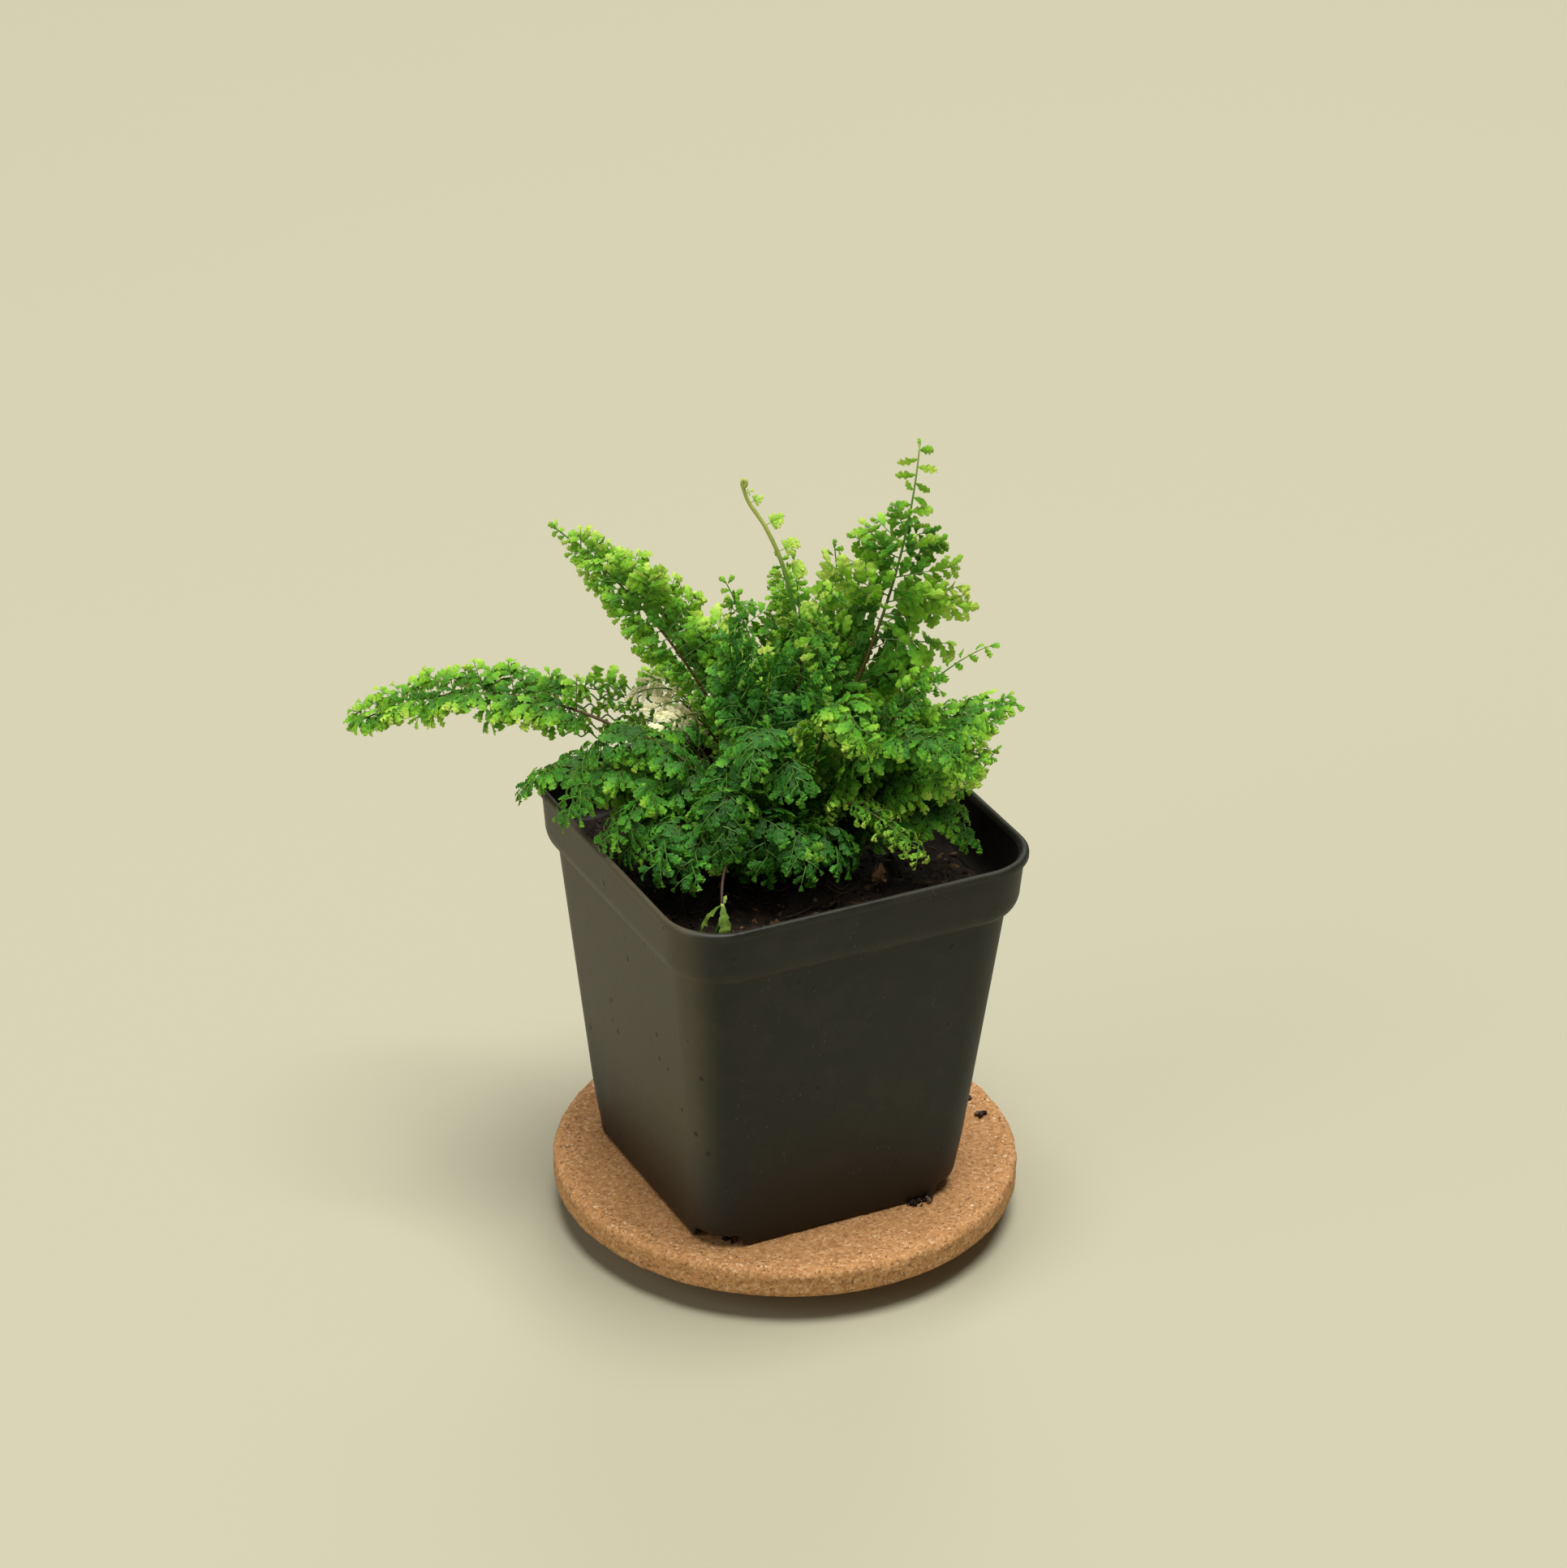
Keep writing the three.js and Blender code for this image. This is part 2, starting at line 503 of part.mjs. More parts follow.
function frondGeometry(spec, seed) {
  const random = seededRandom(seed);
  const curve = ribCurve(spec);
  const length = curve.getLength();
  const roll = THREE.MathUtils.degToRad(spec.roll ?? 0);
  const stalkSteps = Math.max(2, Math.round((spec.bare * length) / STALK_STEP));
  const bladeSteps = 2 * spec.pairs;
  const stations = [];
  for (let i = 0; i <= stalkSteps; i += 1) {
    stations.push((i / stalkSteps) * spec.bare);
  }
  for (let i = 1; i <= bladeSteps; i += 1) {
    stations.push(spec.bare + (i / bladeSteps) * (BLADE_END - spec.bare));
  }
  const sheet = new Sheet();
  const rib = stations.map((t) => {
    const frame = ribFrame(curve, roll, t);
    return [1, -1].map((side) => sheet.addPoint(
      frame.at.clone().addScaledVector(frame.left, side * RIB_HALF_WIDTH),
      frame.up,
    ));
  });
  for (let i = 0; i + 1 < rib.length; i += 1) {
    const [[left, right], [nextLeft, nextRight]] = [rib[i], rib[i + 1]];
    sheet.faces.push([right, nextRight, nextLeft], [right, nextLeft, left]);
  }
  const spacing = (length * (BLADE_END - spec.bare)) / spec.pairs;
  for (let i = 0; i < bladeSteps; i += 1) {
    const side = i % 2 === 0 ? 1 : -1;
    const from = rib[stalkSteps + i];
    const to = rib[stalkSteps + i + 1];
    const t = (stations[stalkSteps + i] + stations[stalkSteps + i + 1]) / 2;
    const reach = leafletReach(spec, (i + 0.5) / bladeSteps) * (1 + vary(random, REACH_SPREAD));
    const halfWidth = LEAFLET_WIDTH * Math.min(spacing, reach);
    const size = { length: reach, halfWidth, root: spacing / 4, cup: spec.cup };
    const roots = side > 0 ? [from[0], to[0]] : [from[1], to[1]];
    addLeaflet(sheet, ribFrame(curve, roll, t), side, roots, size, random);
  }
  const frame = ribFrame(curve, roll, stations.at(-1));
  const tipLength = (1 - BLADE_END) * length + TIP_OVERHANG;
  const outline = [new THREE.Vector2(0, -RIB_HALF_WIDTH)];
  const ids = [rib.at(-1)[1]];
  for (const [a, b] of TIP_OUTLINE) {
    const flat = new THREE.Vector2(a * tipLength, b * TIP_HALF_WIDTH);
    const point = frame.at.clone().addScaledVector(frame.along, flat.x).addScaledVector(frame.left, flat.y);
    outline.push(flat);
    ids.push(sheet.addPoint(point, frame.up));
  }
  outline.push(new THREE.Vector2(0, RIB_HALF_WIDTH));
  ids.push(rib.at(-1)[0]);
  sheet.addPolygon(outline, ids);
  return sheet.toGeometry();
}

// The young stalk, bare, with its tip wound into a crozier.
function fiddleheadCurve() {
  const points = FIDDLEHEAD_ROUTE.map(([x, y, z]) => new THREE.Vector3(x, y, z + STEM_FOOT_Z));
  const tip = points.at(-1);
  const across = new THREE.Vector3(0.87, -0.49, 0); // the crozier turns back over the stalk
  for (let angle = 1; angle <= CROZIER_TURN; angle += 1) {
    const r = CROZIER_RADIUS * (1 - CROZIER_TIGHTENING * angle * angle);
    points.push(tip.clone()
      .addScaledVector(across, CROZIER_RADIUS - r * Math.cos(angle))
      .add(new THREE.Vector3(0, 0, r * Math.sin(angle))));
  }
  return new THREE.CatmullRomCurve3(points);
}

function fiddleheadGeometry() {
  const section = new THREE.Shape().absarc(0, 0, FIDDLEHEAD_RADIUS, 0, 2 * Math.PI);
  const stalk = new THREE.ExtrudeGeometry(section, {
    steps: FIDDLEHEAD_STEPS,
    curveSegments: 3,
    bevelEnabled: false,
    extrudePath: fiddleheadCurve(),
  });
  return toGeometry(toManifold(stalk));
}

// ---- the object ---------------------------------------------------------------------------

const group = new THREE.Group();

function addPiece(name, geometry, { color, roughness }) {
  const mesh = new THREE.Mesh(geometry, new THREE.MeshStandardMaterial({ color, roughness, metalness: 0 }));
  mesh.name = name;
  group.add(mesh);
}

const crownStems = [...FRONDS.filter((spec) => !spec.inSoil).map(ribCurve), fiddleheadCurve()];
const soilStems = FRONDS.filter((spec) => spec.inSoil).map(ribCurve);

let crown = toManifold(crownGeometry());
for (const curve of crownStems) {
  crown = crown.subtract(socketSolid(curve));
}

addPiece('cork_stand', standGeometry(), { color: 0xb98a5e, roughness: 0.9 });
addPiece('pot', potGeometry(), { color: 0x2b2a26, roughness: 0.5 });
addPiece('potting_soil', soilGeometry(soilStems.map(socketSolid)), { color: 0x1c1511, roughness: 0.95 });
addPiece('root_crown', toGeometry(crown), { color: 0x4a3320, roughness: 0.9 });
addPiece('fiddlehead', fiddleheadGeometry(), { color: 0x8fb04a, roughness: 0.55 });
FRONDS.forEach((spec, index) => {
  addPiece(spec.name, frondGeometry(spec, 101 + 17 * index), TONES[spec.tone]);
});

export default group;
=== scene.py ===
import math

import bpy
import numpy as np
from mathutils import Matrix, Vector


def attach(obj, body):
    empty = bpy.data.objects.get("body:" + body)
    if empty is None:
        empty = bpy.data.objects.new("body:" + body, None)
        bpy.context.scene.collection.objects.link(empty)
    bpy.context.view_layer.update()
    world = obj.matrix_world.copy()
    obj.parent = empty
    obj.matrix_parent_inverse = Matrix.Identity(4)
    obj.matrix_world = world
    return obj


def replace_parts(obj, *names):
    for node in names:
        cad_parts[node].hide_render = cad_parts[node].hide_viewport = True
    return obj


# Potted lace fern on a cork stand: the fine leaves, pot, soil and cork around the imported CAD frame.
# Lengths in the settings are millimetres; mm turns them into Blender's metres.
mm = 0.001
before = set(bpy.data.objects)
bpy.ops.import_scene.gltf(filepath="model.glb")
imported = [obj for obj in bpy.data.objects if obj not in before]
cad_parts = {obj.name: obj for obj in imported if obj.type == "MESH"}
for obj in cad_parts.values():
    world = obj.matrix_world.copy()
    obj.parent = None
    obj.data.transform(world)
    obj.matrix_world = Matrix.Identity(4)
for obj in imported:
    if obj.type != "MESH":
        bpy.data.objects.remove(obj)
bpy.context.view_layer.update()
print("frame loaded:", len(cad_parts), "nodes")


upright = np.array([0, 0, 1.0])


# Meshes from whole arrays

def newPiece(name, points, faceSets, materials, faceMaterials=None, fields=None, sharpAngle=None):
    # points: (n, 3) in mm; faceSets: arrays of 3 or 4 corners a row;
    # fields: named (n, 3) values of the points
    mesh = bpy.data.meshes.new(name)
    corners = np.concatenate([faces.ravel() for faces in faceSets]).astype(np.int32)
    sizes = np.concatenate([np.full(len(faces), faces.shape[1]) for faces in faceSets])
    starts = np.concatenate([[0], np.cumsum(sizes)[:-1]]).astype(np.int32)
    mesh.vertices.add(len(points))
    mesh.vertices.foreach_set("co", (points * mm).astype(np.float32).ravel())
    mesh.loops.add(len(corners))
    mesh.loops.foreach_set("vertex_index", corners)
    mesh.polygons.add(len(sizes))
    mesh.polygons.foreach_set("loop_start", starts)
    for material in materials:
        mesh.materials.append(material)
    if faceMaterials is not None:
        mesh.polygons.foreach_set("material_index", faceMaterials.astype(np.int32))
    mesh.update(calc_edges=True)
    for fieldName, values in (fields or {}).items():
        field = mesh.attributes.new(fieldName, "FLOAT_VECTOR", "POINT")
        field.data.foreach_set("vector", values.astype(np.float32).ravel())
    mesh.shade_smooth()
    if sharpAngle is not None:
        mesh.set_sharp_from_angle(angle=math.radians(sharpAngle))
    piece = bpy.data.objects.new(name, mesh)
    bpy.context.scene.collection.objects.link(piece)
    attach(piece, "root")
    return piece


def unit(vectors):
    # Vectors over their own lengths
    return vectors / np.maximum(np.linalg.norm(vectors, axis=-1, keepdims=True), 1e-9)


def squareTo(vectors, axes):
    # v - (v . axis) axis, at length 1
    return unit(vectors - (vectors * axes).sum(axis=-1, keepdims=True) * axes)


def gridFaces(rows, columns):
    # Quads of a grid whose columns close on themselves; the first row lies at index 0
    row, column = np.meshgrid(np.arange(rows - 1), np.arange(columns), indexing="ij")
    after = (column + 1) % columns
    a = row * columns + column
    b = row * columns + after
    return np.stack([a, b, b + columns, a + columns], axis=-1).reshape(-1, 4)


def cappedGrid(rings):
    # rings: (rows, columns, 3), anticlockwise seen from the last row's side; a point closes each end
    rows, columns, _ = rings.shape
    points = np.concatenate([rings.reshape(-1, 3), rings[:1].mean(axis=1), rings[-1:].mean(axis=1)])
    column = np.arange(columns)
    after = (column + 1) % columns
    first = np.stack([np.full(columns, rows * columns), after, column], axis=-1)
    lastRow = (rows - 1) * columns
    last = np.stack([np.full(columns, rows * columns + 1), lastRow + column, lastRow + after], axis=-1)
    return points, [gridFaces(rows, columns), np.concatenate([first, last])]


def manyTubes(paths, radii, sides):
    # paths: (n, m, 3); radii: (n, m). Each ring is p + r (cos a * across + sin a * over),
    # with across and over square to the path, and a point closes each end.
    along = unit(np.gradient(paths, axis=1))
    guide = np.where(np.abs(along[:, :1, 2:]) > 0.9, [[[1.0, 0, 0]]], [[[0, 0, 1.0]]])
    across = unit(np.cross(np.broadcast_to(guide, along.shape), along))
    over = np.cross(along, across)
    turn = np.linspace(0, 2 * np.pi, sides, endpoint=False)
    ring = np.cos(turn)[:, None] * across[:, :, None] + np.sin(turn)[:, None] * over[:, :, None]
    rings = paths[:, :, None] + radii[:, :, None, None] * ring
    firstPoints = paths[:, 0] - along[:, 0] * radii[:, :1]
    lastPoints = paths[:, -1] + along[:, -1] * radii[:, -1:]
    return stackedRings(rings, firstPoints, lastPoints)


def stackedRings(rings, firstPoints, lastPoints):
    # n closed lofts at once: rings (n, m, k, 3) with an end point below the first and above the last ring
    count, steps, sides, _ = rings.shape
    each = steps * sides + 2
    loft = rings.reshape(count, -1, 3)
    points = np.concatenate([loft, firstPoints[:, None], lastPoints[:, None]], axis=1)
    column = np.arange(sides)
    after = (column + 1) % sides
    top = (steps - 1) * sides
    ends = np.concatenate([
        np.stack([np.full(sides, steps * sides), after, column], axis=-1),
        np.stack([np.full(sides, steps * sides + 1), top + column, top + after], axis=-1),
    ])
    offsets = np.arange(count)[:, None, None] * each
    quads = (gridFaces(steps, sides)[None] + offsets).reshape(-1, 4)
    triangles = (ends[None] + offsets).reshape(-1, 3)
    return points.reshape(-1, 3), quads, triangles


# Shader maths: Value wraps an output socket, and its operators add Math nodes

class Value:
    def __init__(self, finish, socket):
        self.finish = finish
        self.socket = socket

    def math(self, operation, *operands):
        return self.finish.node("ShaderNodeMath", {"operation": operation}, dict(enumerate(operands)))

    def __add__(self, other):
        return self.math("ADD", self, other)

    __radd__ = __add__

    def __sub__(self, other):
        return self.math("SUBTRACT", self, other)

    def __rsub__(self, other):
        return self.math("SUBTRACT", other, self)

    def __mul__(self, other):
        return self.math("MULTIPLY", self, other)

    __rmul__ = __mul__

    def __pow__(self, other):
        return self.math("POWER", self, other)

    def sine(self):
        return self.math("SINE", self)

    def absolute(self):
        return self.math("ABSOLUTE", self)

    def between(self, low, high):
        # 0 at low, 1 at high, smooth in between
        settings = {"interpolation_type": "SMOOTHSTEP"}
        inputs = {"Value": self, "From Min": low, "From Max": high}
        return self.finish.node("ShaderNodeMapRange", settings, inputs)


class Finish:
    def __init__(self, name):
        self.material = bpy.data.materials.new(name)
        self.material.use_nodes = True
        self.tree = self.material.node_tree
        self.tree.nodes.clear()
        self.place = self.node("ShaderNodeTexCoord", output="Object")

    def parts(self, vector):
        # The x, y and z of a vector
        return [self.node("ShaderNodeSeparateXYZ", None, {0: vector}, part) for part in "XYZ"]

    def node(self, kind, settings=None, inputs=None, output=0):
        # Adds a node of that type, sets its settings, then fills or links its sockets
        made = self.tree.nodes.new(kind)
        for name, value in (settings or {}).items():
            if name == "stops":
                self.fillRamp(made.color_ramp, value)
            else:
                setattr(made, name, value)
        for name, value in (inputs or {}).items():
            if isinstance(value, Value):
                self.tree.links.new(value.socket, made.inputs[name])
            else:
                made.inputs[name].default_value = value
        return Value(self, made.outputs[output])

    def fillRamp(self, ramp, stops):
        while len(ramp.elements) < len(stops):
            ramp.elements.new(0.5)
        for element, (position, colour) in zip(ramp.elements, stops):
            element.position = position
            element.color = (*colour, 1)

    def ramp(self, value, *stops):
        return self.node("ShaderNodeValToRGB", {"stops": stops}, {"Fac": value})

    def noise(self, scale, detail=3, roughness=0.55, stretch=None):
        place = self.place if stretch is None else self.stretched(stretch)
        inputs = {"Vector": place, "Scale": scale, "Detail": detail, "Roughness": roughness}
        return self.node("ShaderNodeTexNoise", None, inputs)

    def cells(self, scale, output="Distance"):
        return self.node("ShaderNodeTexVoronoi", None, {"Vector": self.place, "Scale": scale}, output)

    def stretched(self, scale):
        return self.node("ShaderNodeMapping", None, {"Vector": self.place, "Scale": scale})

    def mix(self, factor, a, b):
        sockets = {0: factor, 6: self.colour(a), 7: self.colour(b)}
        return self.node("ShaderNodeMix", {"data_type": "RGBA"}, sockets, output=2)

    def colour(self, value):
        return value if isinstance(value, Value) else (*value, 1)

    def field(self, name):
        # The three parts of a named value that the mesh carries
        return self.parts(self.node("ShaderNodeAttribute", {"attribute_name": name}, output="Vector"))

    def bump(self, height, distance, strength=1.0):
        inputs = {"Height": height, "Distance": distance, "Strength": strength}
        return self.node("ShaderNodeBump", None, inputs)

    def surface(self, colour, roughness, normal, **constants):
        inputs = {"Base Color": self.colour(colour), "Roughness": roughness, "Normal": normal}
        inputs.update({name.replace("_", " "): value for name, value in constants.items()})
        shader = self.node("ShaderNodeBsdfPrincipled", None, inputs)
        made = self.tree.nodes.new("ShaderNodeOutputMaterial")
        self.tree.links.new(shader.socket, made.inputs["Surface"])
        return self.material


# Camera, floor and light

view = {
    "eye": (-478.36, -937.03, 687.39),
    "target": (0.41, -0.21, 112.28),
    "roll": 1.034,
    "focalPixels": 6533.9,
    "imageWidth": 1931,
    "clip": (50, 50000),
}


def addCamera():
    # Looks from eye to target; right = z x back, upward = back x right, both turned by roll
    eye, target = Vector(view["eye"]) * mm, Vector(view["target"]) * mm
    back = (eye - target).normalized()
    right = Vector((0, 0, 1)).cross(back).normalized()
    upward = back.cross(right)
    roll = math.radians(view["roll"])
    c, s = math.cos(roll), math.sin(roll)
    turned = [c * right + s * upward, c * upward - s * right]
    camera = bpy.data.objects.new("camera", bpy.data.cameras.new("camera"))
    camera.matrix_world = Matrix.Translation(eye) @ Matrix([*turned, back]).transposed().to_4x4()
    camera.data.sensor_fit = "HORIZONTAL"
    camera.data.lens = view["focalPixels"] / view["imageWidth"] * camera.data.sensor_width
    camera.data.clip_start, camera.data.clip_end = (edge * mm for edge in view["clip"])
    bpy.context.scene.collection.objects.link(camera)
    bpy.context.scene.camera = camera


room = {
    "floorColour": (0.42, 0.405, 0.30),
    "floorHalf": 9000,
    "airColour": (1.0, 0.96, 0.84),
    "airStrength": 0.13,
    "lamps": [
        # name, place, aim, width, watts, colour
        ("overheadLamp", (120, -440, 4800), (0, 0, 60), 3000, 335, (1.0, 0.98, 0.92)),
        ("leftLamp", (-2100, -300, 1200), (0, 0, 60), 1800, 13, (1.0, 0.98, 0.93)),
        ("backLamp", (1600, 2500, 2200), (900, 1300, 0), 1800, 26, (1.0, 0.98, 0.93)),
    ],
}


def addRoom():
    half = room["floorHalf"] * mm
    mesh = bpy.data.meshes.new("floor")
    corners = [(-half, -half, 0), (half, -half, 0), (half, half, 0), (-half, half, 0)]
    mesh.from_pydata(corners, [], [(0, 1, 2, 3)])
    finish = Finish("paleCardFloor")
    cloud = finish.noise(1.3, detail=2)
    warm = tuple(0.97 * part for part in room["floorColour"])
    fibre = finish.noise(900, detail=2)
    tone = finish.mix(cloud, room["floorColour"], warm)
    mesh.materials.append(finish.surface(tone, 0.85, finish.bump(fibre, 0.00005, 0.3)))
    floor = bpy.data.objects.new("floor", mesh)
    bpy.context.scene.collection.objects.link(floor)
    for name, place, aim, width, watts, colour in room["lamps"]:
        light = bpy.data.lights.new(name, "AREA")
        light.shape, light.size, light.energy, light.color = "DISK", width * mm, watts, colour
        lamp = bpy.data.objects.new(name, light)
        lamp.location = Vector(place) * mm
        direction = Vector(place) - Vector(aim)
        lamp.rotation_euler = direction.to_track_quat("Z", "Y").to_euler()
        bpy.context.scene.collection.objects.link(lamp)
    world = bpy.data.worlds.new("softRoomAir")
    world.use_nodes = True
    sky = world.node_tree.nodes["Background"]
    sky.inputs["Color"].default_value = (*room["airColour"], 1)
    sky.inputs["Strength"].default_value = room["airStrength"]
    bpy.context.scene.world = world
    bpy.context.scene.view_settings.view_transform = "Standard"


addCamera()
addRoom()
print("camera, floor and light ready")


# Pot: thin square plastic pot with lip, band, rounded step and flared body

pot = {
    "footZ": 13.9,
    "height": 90.9,
    "half": 45,
    "baseHalf": 33.1,
    "baseCorner": 8.6,
    "rimCorner": 13.3,
    "footRound": 1,
    "bodyInset": 3.9,
    "bandInset": 1.4,
    "lipStep": 0.8,
    "lipHeight": 2,
    "bandHeight": 10,
    "stepHeight": 5,
    "wall": 1.2,
    "lipWall": 1.6,
    "floorLift": 2.6,
    "notchHeight": 3,
    "notchFade": 14,
    "bow": 0.45,
    "cornerSteps": 14,
    "sideSteps": 22,
}
pot["stepTop"] = pot["height"] - pot["bandHeight"]
pot["stepFoot"] = pot["stepTop"] - pot["stepHeight"]
pot["lipFoot"] = pot["height"] - pot["lipHeight"]
# Half-width between the walls at the soil
insideHalf = pot["half"] - pot["bodyInset"] - pot["wall"]


def roundedSquare(cornerSteps, sideSteps):
    # Once round: corner signs in -1..1, the outward direction, and the place along the side, from 0 in its
    # middle to 1 at its ends and all round a corner
    arc = np.linspace(0, np.pi / 2, cornerSteps)
    side = np.linspace(-1, 1, sideSteps + 2)[1:-1]
    signs, outward, along = [], [], []
    for quarter in range(4):
        c, s = math.cos(quarter * math.pi / 2), math.sin(quarter * math.pi / 2)
        turn = np.array([[c, s], [-s, c]])
        signs.append(np.ones((cornerSteps, 2)) @ turn)
        outward.append(np.stack([np.cos(arc), np.sin(arc)], axis=-1) @ turn)
        along.append(np.full(cornerSteps, 1.0))
        signs.append(np.stack([-side, np.ones(sideSteps)], axis=-1) @ turn)
        outward.append(np.tile([[0.0, 1.0]], (sideSteps, 1)) @ turn)
        along.append(np.abs(side))
    return np.concatenate(signs), np.concatenate(outward), np.concatenate(along)


def cornerRadius(half):
    # Grows evenly with the half-width, from the base's corners to the rim's
    share = (half - pot["baseHalf"]) / (pot["half"] - pot["baseHalf"])
    return pot["baseCorner"] + share * (pot["rimCorner"] - pot["baseCorner"])


def outsideHalf(z):
    # Half-width of the outside at heights above the foot: a straight flare, a quarter ellipse, and the band
    bodyHalf = pot["half"] - pot["bodyInset"]
    bandHalf = pot["half"] - pot["bandInset"]
    flare = pot["baseHalf"] + (bodyHalf - pot["baseHalf"]) * z / pot["stepFoot"]
    down = np.clip((pot["stepTop"] - z) / pot["stepHeight"], 0, 1)
    ellipse = bodyHalf + (bandHalf - bodyHalf) * np.sqrt(1 - down ** 2)
    bandShare = np.clip((z - pot["stepTop"]) / (pot["lipFoot"] - pot["stepTop"]), 0, 1)
    band = bandHalf + (pot["half"] - pot["lipStep"] - bandHalf) * bandShare
    return np.where(z <= pot["stepFoot"], flare, np.where(z < pot["stepTop"], ellipse, band))


def potRows():
    # (height, half-width) from under the floor, out and up the outside, over the lip and down to the floor,
    # and where the rows of the inside begin
    height, half, base, wall = pot["height"], pot["half"], pot["baseHalf"], pot["wall"]
    recess, footRound, footInner = pot["floorLift"], pot["footRound"], base - wall
    lipFoot, lipRound = pot["lipFoot"], pot["lipWall"] / 2
    outer = np.concatenate([np.linspace(2.2, pot["stepFoot"], 26), [pot["stepFoot"] + 0.15],
                            pot["stepTop"] - pot["stepHeight"] * np.cos(np.linspace(0.12, np.pi / 2, 10)),
                            np.linspace(pot["stepTop"] + 0.8, lipFoot - 0.1, 8)])
    inner = np.concatenate([np.linspace(height - 1.2, lipFoot, 3), outer[:0:-1] - 0.4, [recess + wall + 1]])
    rows = [(recess, share * footInner) for share in (0.12, 0.4, 0.7, 0.93, 0.99)]
    rows += [(z, footInner - 0.1 * (recess - z)) for z in (recess - 0.2, 1.6, 0.8, 0.25)]
    rows += [(0, footInner + 0.2), (0, base - footRound)]
    rows += [(footRound * (1 + math.sin(a)), base - footRound * (1 - math.cos(a)))
             for a in np.linspace(-np.pi / 2, 0, 5)[1:]]
    rows += list(zip(outer, outsideHalf(outer)))
    rows += [(lipFoot, half - 0.35), (lipFoot + 0.15, half - 0.08), (lipFoot + 0.4, half)]
    rows += [(height - lipRound + lipRound * math.sin(a), half - lipRound + lipRound * math.cos(a))
             for a in np.linspace(0, np.pi, 9)]
    insideStart = len(rows)
    rows += [(z, outsideHalf(z) - wall + 0.1) for z in inner]
    rows += [(recess + wall, share * (footInner + 0.3)) for share in (0.98, 0.9, 0.6, 0.3, 0.1)]
    return np.array(rows), insideStart


def addPot():
    # Each row is a rounded square: (half - corner) * corner signs + corner * outward
    rows, insideStart = potRows()
    signs, outward, along = roundedSquare(pot["cornerSteps"], pot["sideSteps"])
    z, half = rows[:, :1], rows[:, 1:]
    corner = np.minimum(cornerRadius(half), half)
    walls = half > 0.9 * pot["baseHalf"]
    # Thin panels bow out a little, most at mid-height and mid-side
    bow = pot["bow"] * np.sin(np.pi * np.clip(z / pot["stepFoot"], 0, 1)) * (1 - along ** 2)
    flat = (half - corner)[..., None] * signs + (corner + bow * walls)[..., None] * outward
    # Corner notches: the foot of the wall shrinks upwards where the corner's own arc runs
    diagonal = np.abs(np.abs(outward[:, 0]) - np.abs(outward[:, 1]))
    notch = pot["notchHeight"] * np.clip((0.97 - diagonal) / 0.12, 0, 1) * (along == 1)
    height = pot["footZ"] + z + notch * np.clip(1 - z / pot["notchFade"], 0, 1) * walls
    rings = np.concatenate([flat, np.broadcast_to(height[..., None], (*flat.shape[:2], 1))], axis=-1)
    points, faces = cappedGrid(rings)
    inside = np.concatenate([np.repeat(np.arange(len(rows)) >= insideStart, rings.shape[1]), [0, 1]])
    fields = {"potPlace": np.stack([inside] * 3, axis=-1)}
    piece = newPiece("pot_skin", points, faces, [potFinish()], fields=fields, sharpAngle=38)
    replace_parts(piece, "pot")


def potFinish():
    finish = Finish("blackPotPlastic")
    bloom = finish.noise(18, detail=4, roughness=0.6)
    mottle = finish.noise(120, detail=5, roughness=0.7)
    dirtSpot = finish.cells(230).between(0.2, 0.1) * finish.noise(75, detail=2).between(0.54, 0.62)
    lightSpeck = finish.cells(640).between(0.15, 0.08) * finish.noise(90, detail=2).between(0.56, 0.64)
    smear = finish.noise(26, detail=3, stretch=(1, 1, 0.35)).between(0.5, 0.75)
    scratch = finish.noise(520, detail=2, stretch=(1, 1, 0.25)).between(0.70, 0.78) * 0.18
    tone = finish.mix(bloom, (0.006, 0.0072, 0.0042), (0.0125, 0.0138, 0.0085))
    tone = finish.mix(mottle.between(0.42, 0.66) * 0.5, tone, (0.028, 0.026, 0.017))
    blotch = finish.noise(48, detail=5, roughness=0.75)
    tone = finish.mix(blotch.between(0.5, 0.68) * 0.5, tone, (0.004, 0.0045, 0.003))
    tone = finish.mix(smear * 0.25, tone, (0.055, 0.048, 0.032))
    # The face on the left has a mottled dusty film and is painted lighter, as the light falls on it from
    # the left; the walls grow darker towards their foot
    x, y, z = finish.parts(finish.place)
    # Painted light: the whole left face is made lighter where the light falls on it, mottled like dust
    leftDustAndPaintedLight = (0 - x - y.absolute()).between(-0.006, 0.006) * (0.55 + 0.5 * mottle + 0.3 * smear)
    tone = finish.mix(leftDustAndPaintedLight, tone, (0.075, 0.063, 0.036))
    # The walls darken towards their foot
    darkerTowardsFoot = z.between(0.05, 0.018)
    tone = finish.mix(darkerTowardsFoot * 0.8, tone, (0.007, 0.005, 0.0035))
    tone = finish.mix(dirtSpot * 0.85, tone, (0.006, 0.004, 0.003))
    tone = finish.mix(lightSpeck * 0.5, tone, (0.14, 0.13, 0.10))
    inside, _, _ = finish.field("potPlace")
    tone = finish.mix(inside, tone, (0.010, 0.008, 0.006))
    tone = finish.mix(scratch, tone, (0.11, 0.105, 0.09))
    roughness = 0.42 + 0.16 * mottle + 0.12 * smear
    normal = finish.bump(mottle + 0.6 * finish.noise(900, detail=2) + 2 * dirtSpot, 0.0002, 0.4)
    return finish.surface(tone, roughness, normal, Specular_IOR_Level=0.35)


addPot()
print("pot ready")


# Cork stand: pressed disc with a raised lip and a dished top, on a narrower foot

cork = {
    "centre": (3.6, 1.8),
    "radius": 54.5,
    "lift": 7,
    "top": 14.2,
    "dish": 0.6,
    "lip": 9,
    "footRadius": 37,
    "lowerRound": 1.4,
    "upperRound": 2,
    "grain": 0.11,
    "highest": 14.4,
    "wornRing": (45.5, 49, 52, 54.5),
    "columns": 420,
    "seed": 21,
}


